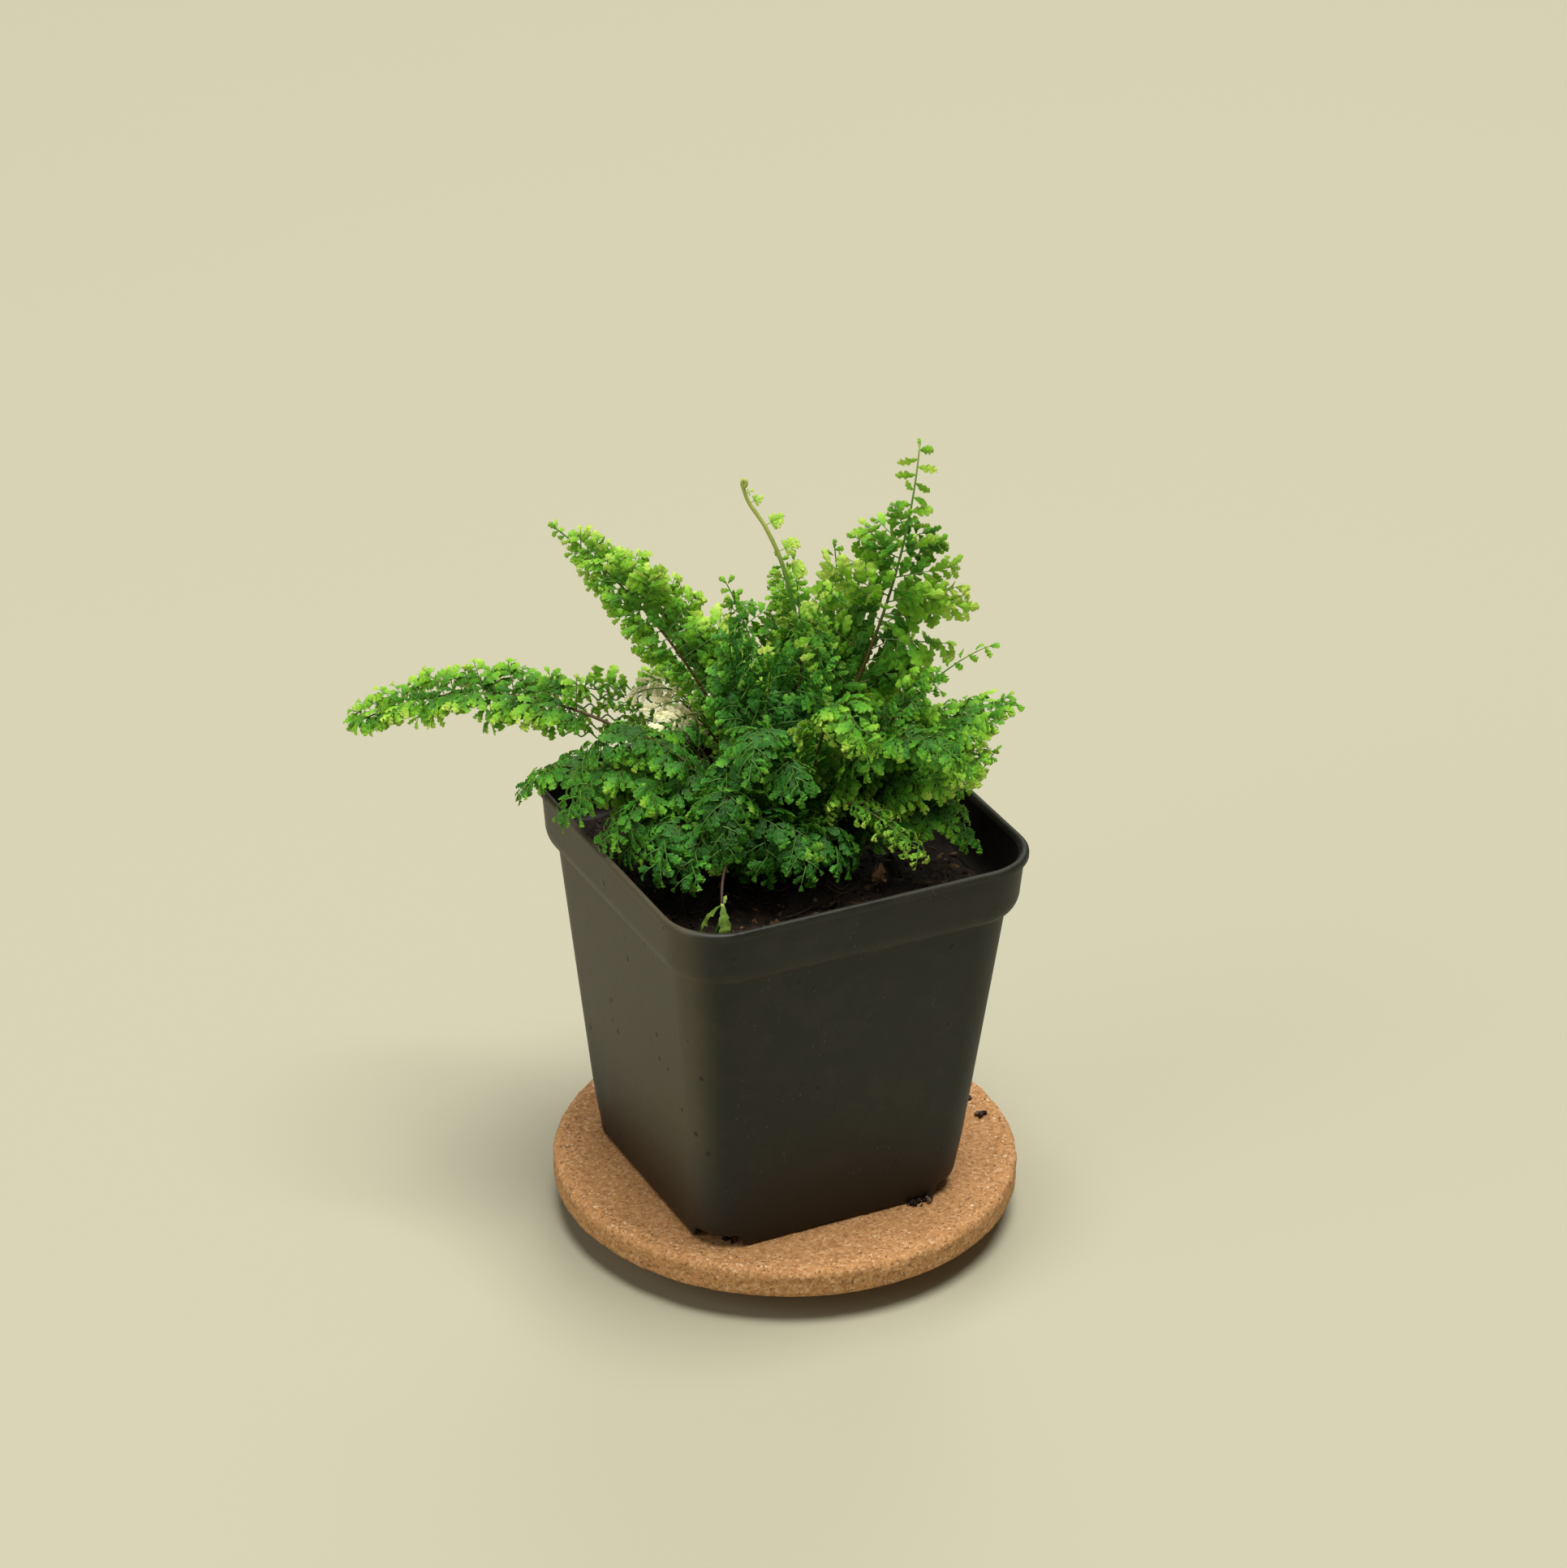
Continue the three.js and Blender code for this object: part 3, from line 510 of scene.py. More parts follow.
def aroundAxis(centre, radius, turn, height):
    # (x + r cos a, y + r sin a, z)
    return np.stack([centre[0] + radius * np.cos(turn), centre[1] + radius * np.sin(turn), height], axis=-1)


def smoothed(values, passes):
    # Each pass averages a grid with its four neighbours; both directions wrap
    for _ in range(passes):
        around = sum(np.roll(values, step, axis) for step in (1, -1) for axis in (0, 1))
        values = 0.4 * values + 0.15 * around
    return values / values.std()


def addCork():
    # (radius, height) rows turned about the disc's axis, each point pushed along the profile's normal
    r, lift, top, foot = cork["radius"], cork["lift"], cork["top"], cork["footRadius"]
    low, high, lip = cork["lowerRound"], cork["upperRound"], cork["lip"]
    turnLow, turnHigh = np.linspace(-np.pi / 2, 0, 7), np.linspace(0, np.pi / 2, 9)
    rows = [(share * foot, 0) for share in (0.1, 0.5, 0.9, 0.985)]
    rows += [(foot, z) for z in (0.3, 3.5, 6.8)]
    rows += [(foot + share * (r - low - foot), lift) for share in (0.02, 0.4, 0.8)]
    rows += [(r - low + low * math.cos(a), lift + low + low * math.sin(a)) for a in turnLow]
    rows += [(r, z) for z in np.linspace(lift + low + 0.5, top - high - 0.5, 7)]
    rows += [(r - high + high * math.cos(a), top - high + high * math.sin(a)) for a in turnHigh]
    # The lip sinks to the dish on half a cosine wave
    rows += [(r - high - share * (lip - high), top - cork["dish"] * (1 - math.cos(math.pi * share)) / 2)
             for share in np.linspace(0.02, 1, 18)]
    rows += [(share * (r - lip), top - cork["dish"]) for share in np.linspace(0.985, 0.02, 60)]
    rows = np.array(rows)
    turn = np.linspace(0, 2 * np.pi, cork["columns"], endpoint=False)
    rng = np.random.default_rng(cork["seed"])
    fine, coarse = (smoothed(rng.normal(size=(len(rows), len(turn))), passes) for passes in (1, 12))
    # Grains stand out or are missing mostly on the crest of the lip
    crest = np.exp(-((rows[:, 0] - (r - 3)) / 2.4) ** 2) * (rows[:, 1] > lift + 3)
    under = (rows[:, 1] > 0.1)[:, None]
    rough = under * cork["grain"] * (0.5 * fine + 0.8 * coarse) * (0.55 + 1.3 * crest[:, None])
    step = np.gradient(rows, axis=0)
    outward = unit(np.stack([step[:, 1], -step[:, 0]], axis=-1))
    radius = rows[:, :1] + outward[:, :1] * rough
    height = np.minimum(rows[:, 1:] + outward[:, 1:] * rough, cork["highest"])
    rings = aroundAxis(cork["centre"], radius, turn, height)
    points, faces = cappedGrid(rings)
    piece = newPiece("cork_disc", points, faces, [corkFinish()], sharpAngle=60)
    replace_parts(piece, "cork_stand")


def corkFinish():
    finish = Finish("pressedCork")
    granule = finish.cells(1400, "Color")
    tint = finish.node("ShaderNodeSeparateColor", None, {0: granule}, "Red")
    grit = finish.noise(2200, detail=3)
    cloud = finish.noise(40, detail=3)
    base = finish.ramp(tint, (0.0, (0.33, 0.16, 0.06)), (0.3, (0.49, 0.242, 0.092)),
                       (0.75, (0.57, 0.295, 0.118)), (1.0, (0.68, 0.41, 0.20)))
    base = finish.mix(cloud * 0.4, base, (0.50, 0.265, 0.11))
    dark = finish.noise(1250, detail=2).between(0.61, 0.67)
    light = finish.noise(1150, detail=2).between(0.63, 0.69)
    # The crest of the lip is worn, so its grains differ more
    x, y, _ = finish.parts(finish.place)
    fromAxis = ((x - cork["centre"][0] * mm) ** 2 + (y - cork["centre"][1] * mm) ** 2) ** 0.5
    start, full, fade, end = (edge * mm for edge in cork["wornRing"])
    crest = fromAxis.between(start, full) * fromAxis.between(end, fade)
    tone = finish.mix(dark * (0.75 + 0.25 * crest), base, (0.17, 0.085, 0.038))
    tone = finish.mix(light * (0.4 + 0.45 * crest), tone, (0.88, 0.70, 0.50))
    seam = finish.cells(1150).between(0.1, 0.5)
    normal = finish.bump(seam * -0.4 + grit * 0.8 - dark * 0.5, 0.0003, 0.45)
    return finish.surface(tone, 0.82, normal, Specular_IOR_Level=0.25)


addCork()
print("cork stand ready")


# Soil: a rough peat surface with crumbs and fibres, dished round the root crown

soil = {
    # depths under the rim: of the soil at the wall, of the level over which its side is upright, and of
    # the stems' feet
    "belowRim": 15,
    "sideBelowRim": 18,
    "stemsBelowRim": 12.8,
    # the soil's underside: height over the pot's foot, and gap to the walls
    "bottomLift": 4.4,
    "bottomGap": 0.4,
    "rise": 3.4,
    "roughness": 0.7,
    "rings": 90,
    "clod": 0.55,
    "grit": 0.22,
    "crumbs": 900,
    "crumbSize": (0.35, 1.5),
    "seed": 5,
}
rimZ = pot["footZ"] + pot["height"]
stemFootZ = rimZ - soil["stemsBelowRim"]


def soilBump(x, y):
    # Broad humps crossed by a finer slanting ripple
    return np.sin(0.41 * x + 1.3) * np.cos(0.37 * y) + 0.6 * np.sin(0.83 * x - 0.71 * y)


def soilShare(x, y):
    # 0 on the axis, 1 at the wall: a rounded square's own distance, as the eighth-power mean of |x| and |y|
    return ((np.abs(x) / insideHalf) ** 8 + (np.abs(y) / insideHalf) ** 8) ** 0.125


def soilHeight(x, y):
    # Highest near the crown, falling with the square of the way to the wall, with broad humps and small
    # clods on it
    share = np.clip(soilShare(x, y), 0, 1)
    rise = soil["rise"] * (1 - share ** 2) + soil["roughness"] * soilBump(x, y) * (share < 1)
    clods = 0.5 * np.sin(1.9 * x + 2 * np.sin(1.1 * y)) * np.sin(2.3 * y + 1.7 * np.sin(0.9 * x))
    return rimZ - soil["belowRim"] + rise + soil["clod"] * clods


def addSoil():
    # The wall's own outline shrunk to the axis in rings, with soilHeight above it and two plain rings below
    rng = np.random.default_rng(soil["seed"])
    signs, outward, _ = roundedSquare(10, 26)
    corner = cornerRadius(insideHalf) - pot["wall"]
    edge = (insideHalf - corner) * signs + corner * outward
    share = np.concatenate([[1.0], np.linspace(0.995, 0.02, soil["rings"])])[:, None, None]
    flat = edge[None] * share
    height = soilHeight(flat[..., 0], flat[..., 1])
    height += soil["grit"] * smoothed(rng.normal(size=height.shape), 1) * np.clip(share[..., 0] * 6, 0, 1)
    bottomShare = (pot["baseHalf"] - pot["wall"] - soil["bottomGap"]) / insideHalf
    below = np.stack([edge * share for share in (0.05 * bottomShare, bottomShare, 1.0)])
    bottomZ = pot["footZ"] + soil["bottomLift"]
    belowZ = np.array([bottomZ, bottomZ, rimZ - soil["sideBelowRim"]])
    height = np.concatenate([np.broadcast_to(belowZ[:, None], below.shape[:2]), height])
    rings = np.concatenate([np.concatenate([below, flat]), height[..., None]], axis=-1)
    points, faces = cappedGrid(rings)
    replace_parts(newPiece("peat", points, faces, [soilFinish()]), "potting_soil")
    addCrumbs("soil_crumbs", *soilCrumbPlaces(rng), rng)


def onSoil(rng, count, margin, edge):
    # Chance places on the soil, none beyond the share edge of the way to the wall
    half = insideHalf - margin
    place = rng.uniform(-half, half, size=(count, 2))
    return place[soilShare(*place.T) < edge]


def soilCrumbPlaces(rng):
    # Many small crumbs and few large ones: smallest + u^2.5 (largest - smallest)
    place = onSoil(rng, soil["crumbs"], 1.2, 0.95)
    smallest, largest = soil["crumbSize"]
    size = rng.uniform(0, 1, len(place)) ** 2.5 * (largest - smallest) + smallest
    z = soilHeight(*place.T) + 0.25 * size
    return np.concatenate([place, z[:, None]], axis=-1), size


def addCrumbs(name, centres, sizes, rng):
    # Lumps: balls of six by four points, each point pushed in or out and each ball squashed by chance
    sides, levels = 6, 4
    turn = np.linspace(0, 2 * np.pi, sides, endpoint=False)
    tilt = np.linspace(-0.9, 0.9, levels)
    ball = np.stack([np.cos(tilt)[:, None] * np.cos(turn), np.cos(tilt)[:, None] * np.sin(turn),
                     np.broadcast_to(np.sin(tilt)[:, None], (levels, sides))], axis=-1)
    count = len(centres)
    push = rng.uniform(0.65, 1.15, size=(count, levels, sides, 1))
    squash = rng.uniform(0.55, 1.1, size=(count, 1, 1, 3))
    rings = centres[:, None, None] + 0.5 * sizes[:, None, None, None] * ball * push * squash
    ends = 0.5 * sizes[:, None] * squash[:, 0, 0] * upright * 0.95
    points, quads, triangles = stackedRings(rings, centres - ends, centres + ends)
    tint = np.repeat(rng.uniform(0, 1, size=(count, 3)), levels * sides + 2, axis=0)
    newPiece(name, points, [quads, triangles], [crumbFinish], fields={"crumbTint": tint})


def soilFinish():
    finish = Finish("dampPeat")
    clump = finish.noise(260, detail=5, roughness=0.7)
    fibre = finish.noise(900, detail=3, stretch=(1, 0.25, 1)).between(0.6, 0.72)
    tone = finish.ramp(clump, (0.25, (0.004, 0.003, 0.002)), (0.5, (0.014, 0.008, 0.005)),
                       (0.75, (0.05, 0.028, 0.016)))
    tone = finish.mix(fibre * 0.5, tone, (0.10, 0.06, 0.035))
    normal = finish.bump(clump + 0.3 * fibre, 0.0008, 0.8)
    return finish.surface(tone, 0.85, normal, Specular_IOR_Level=0.3)


def crumbMaterial():
    finish = Finish("peatCrumbs")
    tint, _, _ = finish.field("crumbTint")
    tone = finish.ramp(tint, (0.0, (0.006, 0.004, 0.003)), (0.6, (0.03, 0.016, 0.009)),
                       (0.9, (0.085, 0.05, 0.03)), (1.0, (0.22, 0.15, 0.09)))
    return finish.surface(tone, 0.85, finish.bump(finish.noise(1800), 0.0003, 0.6), Specular_IOR_Level=0.3)


crumbFinish = crumbMaterial()
addSoil()
print("soil ready")


# Leaf and stalk finishes

leafTones = {
    # greens from the oldest, deepest parts to the youngest margins
    "fresh": ((0.0, (0.010, 0.080, 0.005)), (0.35, (0.045, 0.22, 0.009)), (0.65, (0.19, 0.49, 0.02)),
              (1.0, (0.46, 0.68, 0.09))),
    "leaf": ((0.0, (0.008, 0.062, 0.005)), (0.35, (0.026, 0.17, 0.009)), (0.65, (0.12, 0.39, 0.018)),
             (1.0, (0.40, 0.65, 0.06))),
    "deep": ((0.0, (0.006, 0.052, 0.006)), (0.35, (0.018, 0.14, 0.012)), (0.65, (0.08, 0.33, 0.02)),
             (1.0, (0.34, 0.60, 0.055))),
    "bright": ((0.0, (0.02, 0.14, 0.008)), (0.35, (0.08, 0.32, 0.014)), (0.65, (0.22, 0.50, 0.03)),
               (1.0, (0.48, 0.70, 0.10))),
    # pale: a cream frond, its colour raised almost to white as painted light, for the light shining through
    # it where it stands in shade
    "pale": ((0.0, (0.66, 0.56, 0.18)), (0.5, (0.95, 0.87, 0.38)), (1.0, (0.99, 0.95, 0.52))),
    "olive": ((0.0, (0.03, 0.08, 0.008)), (0.5, (0.12, 0.22, 0.025)), (1.0, (0.32, 0.40, 0.08))),
    "dead": ((0.0, (0.02, 0.012, 0.006)), (0.5, (0.09, 0.045, 0.02)), (1.0, (0.29, 0.15, 0.068))),
}


def leafFinish(tone):
    finish = Finish("fernLeaf" + tone.capitalize())
    young, along, across = finish.field("leafPlace")
    patch = finish.noise(170, detail=3)
    mottle = finish.noise(900, detail=3, roughness=0.6)
    age = young + 0.16 * (patch - 0.5) + 0.12 * (mottle - 0.5)
    colour = finish.ramp(age, *leafTones[tone])
    offMiddle = across.absolute()
    vein = (1 - offMiddle.between(0.02, 0.16)) * (1 - along.between(0.75, 1))
    rim = offMiddle.between(0.55, 1.0)
    colour = finish.mix(vein * 0.1, colour, leafTones[tone][-1][1])
    colour = finish.mix(rim * 0.16, colour, leafTones[tone][-1][1])
    sideVein = (along * 21 - offMiddle * 4).sine() * (1 - rim)
    normal = finish.bump(mottle + 0.5 * sideVein - vein, 0.00012, 0.5)
    return finish.surface(colour, 0.5 + 0.15 * mottle, normal, Specular_IOR_Level=0.22,
                          Subsurface_Weight=0.25, Subsurface_Scale=1.0,
                          Subsurface_Radius=(0.0012, 0.0022, 0.0004))


def stalkMaterial():
    finish = Finish("fernStalk")
    along, _, _ = finish.field("leafPlace")
    fleck = finish.noise(700, detail=3)
    age = along + 0.12 * (fleck - 0.5)
    colour = finish.ramp(age, (0.0, (0.03, 0.015, 0.008)), (0.5, (0.11, 0.065, 0.022)),
                         (0.7, (0.06, 0.14, 0.02)), (0.84, (0.09, 0.26, 0.025)), (1.0, (0.42, 0.51, 0.11)))
    return finish.surface(colour, 0.5, finish.bump(fleck, 0.00015, 0.5), Specular_IOR_Level=0.35)


leafFinishes = {tone: leafFinish(tone) for tone in leafTones}
stalkFinish = stalkMaterial()
print("leaf finishes ready")


# Leaflets: thin lobed blades, worked out for a whole frond at once

leaflet = {
    # shares of the length from foot to tip with the half-width there: a wedge-shaped foot under an oblong
    # blade, and a small fan on a thin foot for the youngest
    "oblong": ((0, 0.08, 0.2, 0.32, 0.5, 0.72, 0.86, 0.94, 1),
               (0.1, 0.24, 0.7, 0.95, 1, 0.95, 0.8, 0.62, 0.4)),
    "fan": ((0, 0.14, 0.32, 0.55, 0.78, 0.92, 1), (0.1, 0.2, 0.52, 0.84, 1, 0.95, 0.6)),
    "steps": 16,
    "lobes": 3,
    "notch": 0.5,
    "halfWidth": 0.38,
    "sweep": 0.4,
    "thickness": 0.08,
    "lobeCurve": 0.55,
    "lobeShift": 0.4,
    "ruffle": 0.2,
    "lobeWaves": 3.1,
    "tipYouth": 0.42,
}


def leafletStations():
    # Even steps from just past the foot to just short of the tip
    return np.linspace(0.03, 0.985, leaflet["steps"])


def leafSet(root, along, up, length, young, fan, fold, droop, slim):
    # An array for each, with a row for each leaflet
    return {"root": root, "along": along, "up": up, "length": length, "young": young,
            "fan": fan, "fold": fold, "droop": droop, "slim": slim}


def leafletRings(leaves, rng):
    # The half-width is the outline times 1 - notch (1 - |sin(pi lobes u)| ^ lobeCurve), and its lobes are
    # shifted on the right. The middle runs on an arc that turns by droop: (l sin(d u) / d,
    # -l (1 - cos(d u)) / d). Both halves fold down by the angle fold, lobes sweep forward with their width,
    # and the edge waves up and down as sin(2 pi w u + phase)
    along, up = leaves["along"], leaves["up"]
    length, droop, fold, fan = leaves["length"], leaves["droop"], leaves["fold"], leaves["fan"]
    across = np.cross(up, along)
    u = leafletStations()
    oblong, fanned = np.interp(u, *leaflet["oblong"]), np.interp(u, *leaflet["fan"])
    shape = oblong + fan[:, None] * (fanned - oblong)
    count, steps = shape.shape
    turns = leaflet["lobes"] * np.linspace(0, 1, steps)[:, None] + np.array([0, leaflet["lobeShift"]])
    depth = leaflet["notch"] * np.clip(leaves["slim"] / 0.65, 0, 1)[:, None, None]
    lobes = 1 - depth * (1 - np.abs(np.sin(np.pi * turns)) ** leaflet["lobeCurve"])
    broad = leaflet["halfWidth"] * length * (1 + 0.3 * fan) * leaves["slim"]
    wide = broad[:, None, None] * shape[..., None] * lobes
    wide = wide * rng.uniform(0.92, 1.08, size=(count, steps, 2))
    phase = rng.uniform(0, 2 * np.pi, size=(count, 1, 2))
    wave = np.sin(2 * np.pi * leaflet["lobeWaves"] * u[None, :, None] + phase)
    ruffle = leaflet["ruffle"] * wide * (wave + 0.35 * rng.normal(size=wide.shape))
    bend = droop[:, None] * u
    x = length[:, None] * np.sin(bend) / droop[:, None]
    z = -length[:, None] * (1 - np.cos(bend)) / droop[:, None]
    middle = leaves["root"][:, None] + x[..., None] * along[:, None] + z[..., None] * up[:, None]
    upward = np.cos(bend)[..., None] * up[:, None] + np.sin(bend)[..., None] * along[:, None]
    forward = np.cos(bend)[..., None] * along[:, None] - np.sin(bend)[..., None] * up[:, None]
    y = wide * np.cos(fold)[:, None, None]
    drop = ruffle - wide * np.sin(fold)[:, None, None]
    ahead = leaflet["sweep"] * wide * (1 - 0.8 * u[None, :, None] ** 2)
    left = middle + y[..., :1] * across[:, None] + drop[..., :1] * upward + ahead[..., :1] * forward
    right = middle - y[..., 1:] * across[:, None] + drop[..., 1:] * upward + ahead[..., 1:] * forward
    half = leaflet["thickness"] * upward
    rings = np.stack([middle + half, left, middle - half, right], axis=2)
    end = droop[:, None]
    tip = leaves["root"] + length[:, None] * (np.sin(end) * along - (1 - np.cos(end)) * up) / end
    return rings, tip


def growPiece(name, slotName, tone, leaves, tubes, rng):
    # One mesh of all leaflets and stalks. leaves: leafSets; tubes: (paths, radii, sides, shade), with shade
    # the place on the stalks' ramp
    leaves = {key: np.concatenate([group[key] for group in leaves]) for key in leaves[0]}
    rings, tips = leafletRings(leaves, rng)
    points, quads, triangles = stackedRings(rings, leaves["root"], tips)
    # A leaflet is younger towards its tip
    u = np.concatenate([np.repeat(leafletStations(), 4), [0, 1]])
    v = np.concatenate([np.tile([0, 1, 0, -1], rings.shape[1]), [0, 0]])
    young = leaves["young"][:, None] + leaflet["tipYouth"] * (u - 0.4)
    place = np.stack([young, np.broadcast_to(u, young.shape), np.broadcast_to(v, young.shape)], axis=-1)
    allPoints, places = [points], [place.reshape(-1, 3)]
    faces, isStalk = [quads, triangles], [0, 0]
    for paths, radii, sides, shade in tubes:
        offset = sum(len(part) for part in allPoints)
        points, quads, triangles = manyTubes(paths, radii, sides)
        around = np.repeat(shade, sides, axis=1)
        shade = np.concatenate([around, shade[:, :1], shade[:, -1:]], axis=1).ravel()
        allPoints.append(points)
        places.append(np.stack([shade, shade * 0, shade * 0], axis=-1))
        faces += [quads + offset, triangles + offset]
        isStalk += [1, 1]
    # All quads come first, then all triangles
    faceSets = [np.concatenate(faces[kind::2]) for kind in (0, 1)]
    stalkFaces = np.concatenate([np.full(len(faces[part]), isStalk[part])
                                 for kind in (0, 1) for part in range(kind, len(faces), 2)])
    return newPiece(name, np.concatenate(allPoints), faceSets, [leafFinishes[tone], stalkFinish],
                    stalkFaces, {"leafPlace": np.concatenate(places)}, sharpAngle=75)


def ribAt(route, shares):
    # B(t) = (1-t)^3 a + 3t(1-t)^2 b + 3t^2(1-t) c + t^3 d, with t found from the share of the length
    a, b, c, d = (np.array(point, float) for point in route)
    t = np.linspace(0, 1, 400)[:, None]
    curve = (1 - t) ** 3 * a + 3 * t * (1 - t) ** 2 * b + 3 * t ** 2 * (1 - t) * c + t ** 3 * d
    length = np.concatenate([[0], np.cumsum(np.linalg.norm(np.diff(curve, axis=0), axis=1))])
    slope = np.gradient(curve, axis=0)
    where = np.asarray(shares) * length[-1]
    at = np.stack([np.interp(where, length, curve[:, axis]) for axis in range(3)], axis=-1)
    along = unit(np.stack([np.interp(where, length, slope[:, axis]) for axis in range(3)], axis=-1))
    return at + upright * stemFootZ, along, length[-1]


def turned(vectors, axes, angles):
    # Vectors turned about axes that are square to them: v cos(a) + (axis x v) sin(a)
    return vectors * np.cos(angles)[..., None] + np.cross(axes, vectors) * np.sin(angles)[..., None]


def ribFrames(frond, shares):
    # The blade's own axes: left is level and square to the rib, then rolled about it; up leaves the blade
    at, along, length = ribAt(frond["route"], shares)
    heading = np.array(frond["route"][3], float) - np.array(frond["route"][0], float)
    left = np.broadcast_to(unit(np.array([-heading[1], heading[0], 0.0])), along.shape)
    left = turned(squareTo(left, along), along, np.full(len(along), math.radians(frond["roll"])))
    return at, along, left, np.cross(along, left), length


def pinnaReach(frond, share):
    # Shorter at the foot, full up to the share "full", then falling to the tip as a power
    full = frond["full"]
    fall = np.where(share < full, 1, np.clip((1 - share) / (1 - full), 0, 1) ** frond["taper"])
    return frond["reach"] * np.clip(0.85 + 0.7 * share, 0.5, 1) * np.maximum(frond["least"], fall)


growth = {
    # share of the rib where the last pinna stands
    "end": 0.985,
    # between pinnae: for no reach, and more for each millimetre of it
    "gap": (2.1, 0.14),
    # forward lean of the pinnae at the foot, and more towards the tip
    "lean": (0.42, 0.25),
    # chance in a pinna's lean, rise, twist and youth, and the factors that its reach and its cup may get
    "sway": 0.2,
    "raiseSpread": 0.24,
    "twist": 0.24,
    "youthSpread": 0.1,
    "reachSpread": (0.84, 1.08),
    "cupSpread": (0.7, 1.4),
    # longer leaflets on longer pinnae
    "leafGrowth": 0.19,
    # most leaflets on one side of a pinna
    "mostPerSide": 8,
    # angle from pinna to leaflet at the pinna's foot, less by the second at its end, and its sway
    "spread": (1.1, 0.45, 0.13),
    # share of its length that a leaflet loses towards the pinna's end
    "shorter": 0.4,
    # where on the pinna its end leaflet stands
    "endPlace": 0.86,
    # shortest and longest single leaflet, and the one at the rib's tip
    "singleLength": (2.4, 5.4),
    "ribTipLength": 2.6,
    # fold of a leaflet's halves, and turn from its foot to its tip
    "fold": (-0.1, 0.6),
    "droop": (0.25, 1.1),
    # leaflets shorter than the first are fans, fully so when shorter by the second
    "fanBelow": (3.4, 1.4),
    # youth at the foot, more towards the margin, more towards the tip
    "youth": (-0.06, 0.68, 0.34),
    "ribSteps": 46,
    # share of its radius that the rib loses up to its tip
    "ribThinner": 0.7,
    # a pinna's stalk: radius at its foot and how much it loses; place on the stalks' ramp at the frond's
    # foot, and more at its tip
    "stalkRadius": (0.17, 0.1),
    "stalkShade": (0.62, 0.2),
}

# What a frond has unless its own line says otherwise. Its reach is the length of its longest pinnae.
# bare: share of the rib before full pinnae; taper, full, least: how their length falls to the tip;
# cup: radius they bend on; sides: shares of the reach left and right, each at the foot and at the tip;
# clear: share of a pinna without leaflets; single: pinnae shorter than this are one leaflet;
# hang and sag: how far pinnae and leaflets give way to their weight
habit = {
    "bare": 0.34,
    "taper": 0.5,
    "full": 0.25,
    "least": 0.13,
    "cup": 18,
    "sides": ((1, 1), (1, 1)),
    "crowding": 1.1,
    "dense": 1,
    "roll": 0,
    "raise": 0.25,
    "stand": 0.7,
    "hang": 0.15,
    "sag": 0.25,
    "clear": 0,
    "single": 3.6,
    "leafSize": 3.5,
    "leafGap": 0.34,
    "young": 0,
    "slim": 0.74,
    "curl": 1,
    "rib": 0.42,
    "paleEnd": 0.82,
    "forks": [],
    "rows": [],
}


def pinnaPlan(frond, rng):
    # Pinnae stand by turns left and right, at 1 - (1 - q)^crowding of the way: closer towards the tip for a
    # crowding over 1
    bare, end = frond["bare"], growth["end"]
    foot = frond.get("foot", 0.35 * bare)
    _, _, length = ribAt(frond["route"], [0])
    gap = growth["gap"][0] + growth["gap"][1] * frond["reach"]
    count = 2 * int(round(length * (end - foot) / gap * frond["dense"]))
    q = (np.arange(count) + 0.5) / count
    station = foot + (end - foot) * (1 - (1 - q) ** frond["crowding"])
    share = (station - bare) / (end - bare)
    at, along, left, up, _ = ribFrames(frond, station)
    side = np.where(np.arange(count) % 2 == 0, 1.0, -1.0)
    lean = growth["lean"][0] + growth["lean"][1] * share + rng.normal(0, growth["sway"], count)
    outward = along * np.sin(lean)[:, None] + left * (side * np.cos(lean))[:, None]
    raised = rng.normal(frond["raise"], growth["raiseSpread"], count)
    outward, over = (outward * np.cos(raised)[:, None] + up * np.sin(raised)[:, None],
                     up * np.cos(raised)[:, None] - outward * np.sin(raised)[:, None])
    over = squareTo(over, outward)
    leftShare, rightShare = (np.interp(share, (0, 1), ends) for ends in frond["sides"])
    sideShare = np.where(side > 0, leftShare, rightShare)
    reach = pinnaReach(frond, share) * rng.uniform(*growth["reachSpread"], count) * sideShare
    cup = frond["cup"] * rng.uniform(*growth["cupSpread"], count)
    # Pinnae stand on the upper side of the rib and mostly hide it
    at = at + frond["stand"] * up
    return {"at": at, "outward": outward, "over": over, "side": side, "share": share, "reach": reach,
            "cup": cup, "young": rng.normal(0, growth["youthSpread"], count), "hang": frond["hang"]}


def alongPinna(plan, which, s):
    # A circle's arc of radius cup that starts outward and turns down
    outward, over = plan["outward"][which], plan["over"][which]
    bend = (s * plan["reach"][which] / plan["cup"][which])[:, None]
    radius = plan["cup"][which][:, None]
    point = plan["at"][which] + outward * radius * np.sin(bend) - over * radius * (1 - np.cos(bend))
    # Its weight pulls it down by hang s^2 of its length
    down = -plan["hang"] * upright
    point = point + down * (plan["reach"][which] * s ** 2)[:, None]
    ahead = unit(outward * np.cos(bend) - over * np.sin(bend) + 2 * s[:, None] * down)
    above = over * np.cos(bend) + outward * np.sin(bend)
    return point, ahead, squareTo(above, ahead)


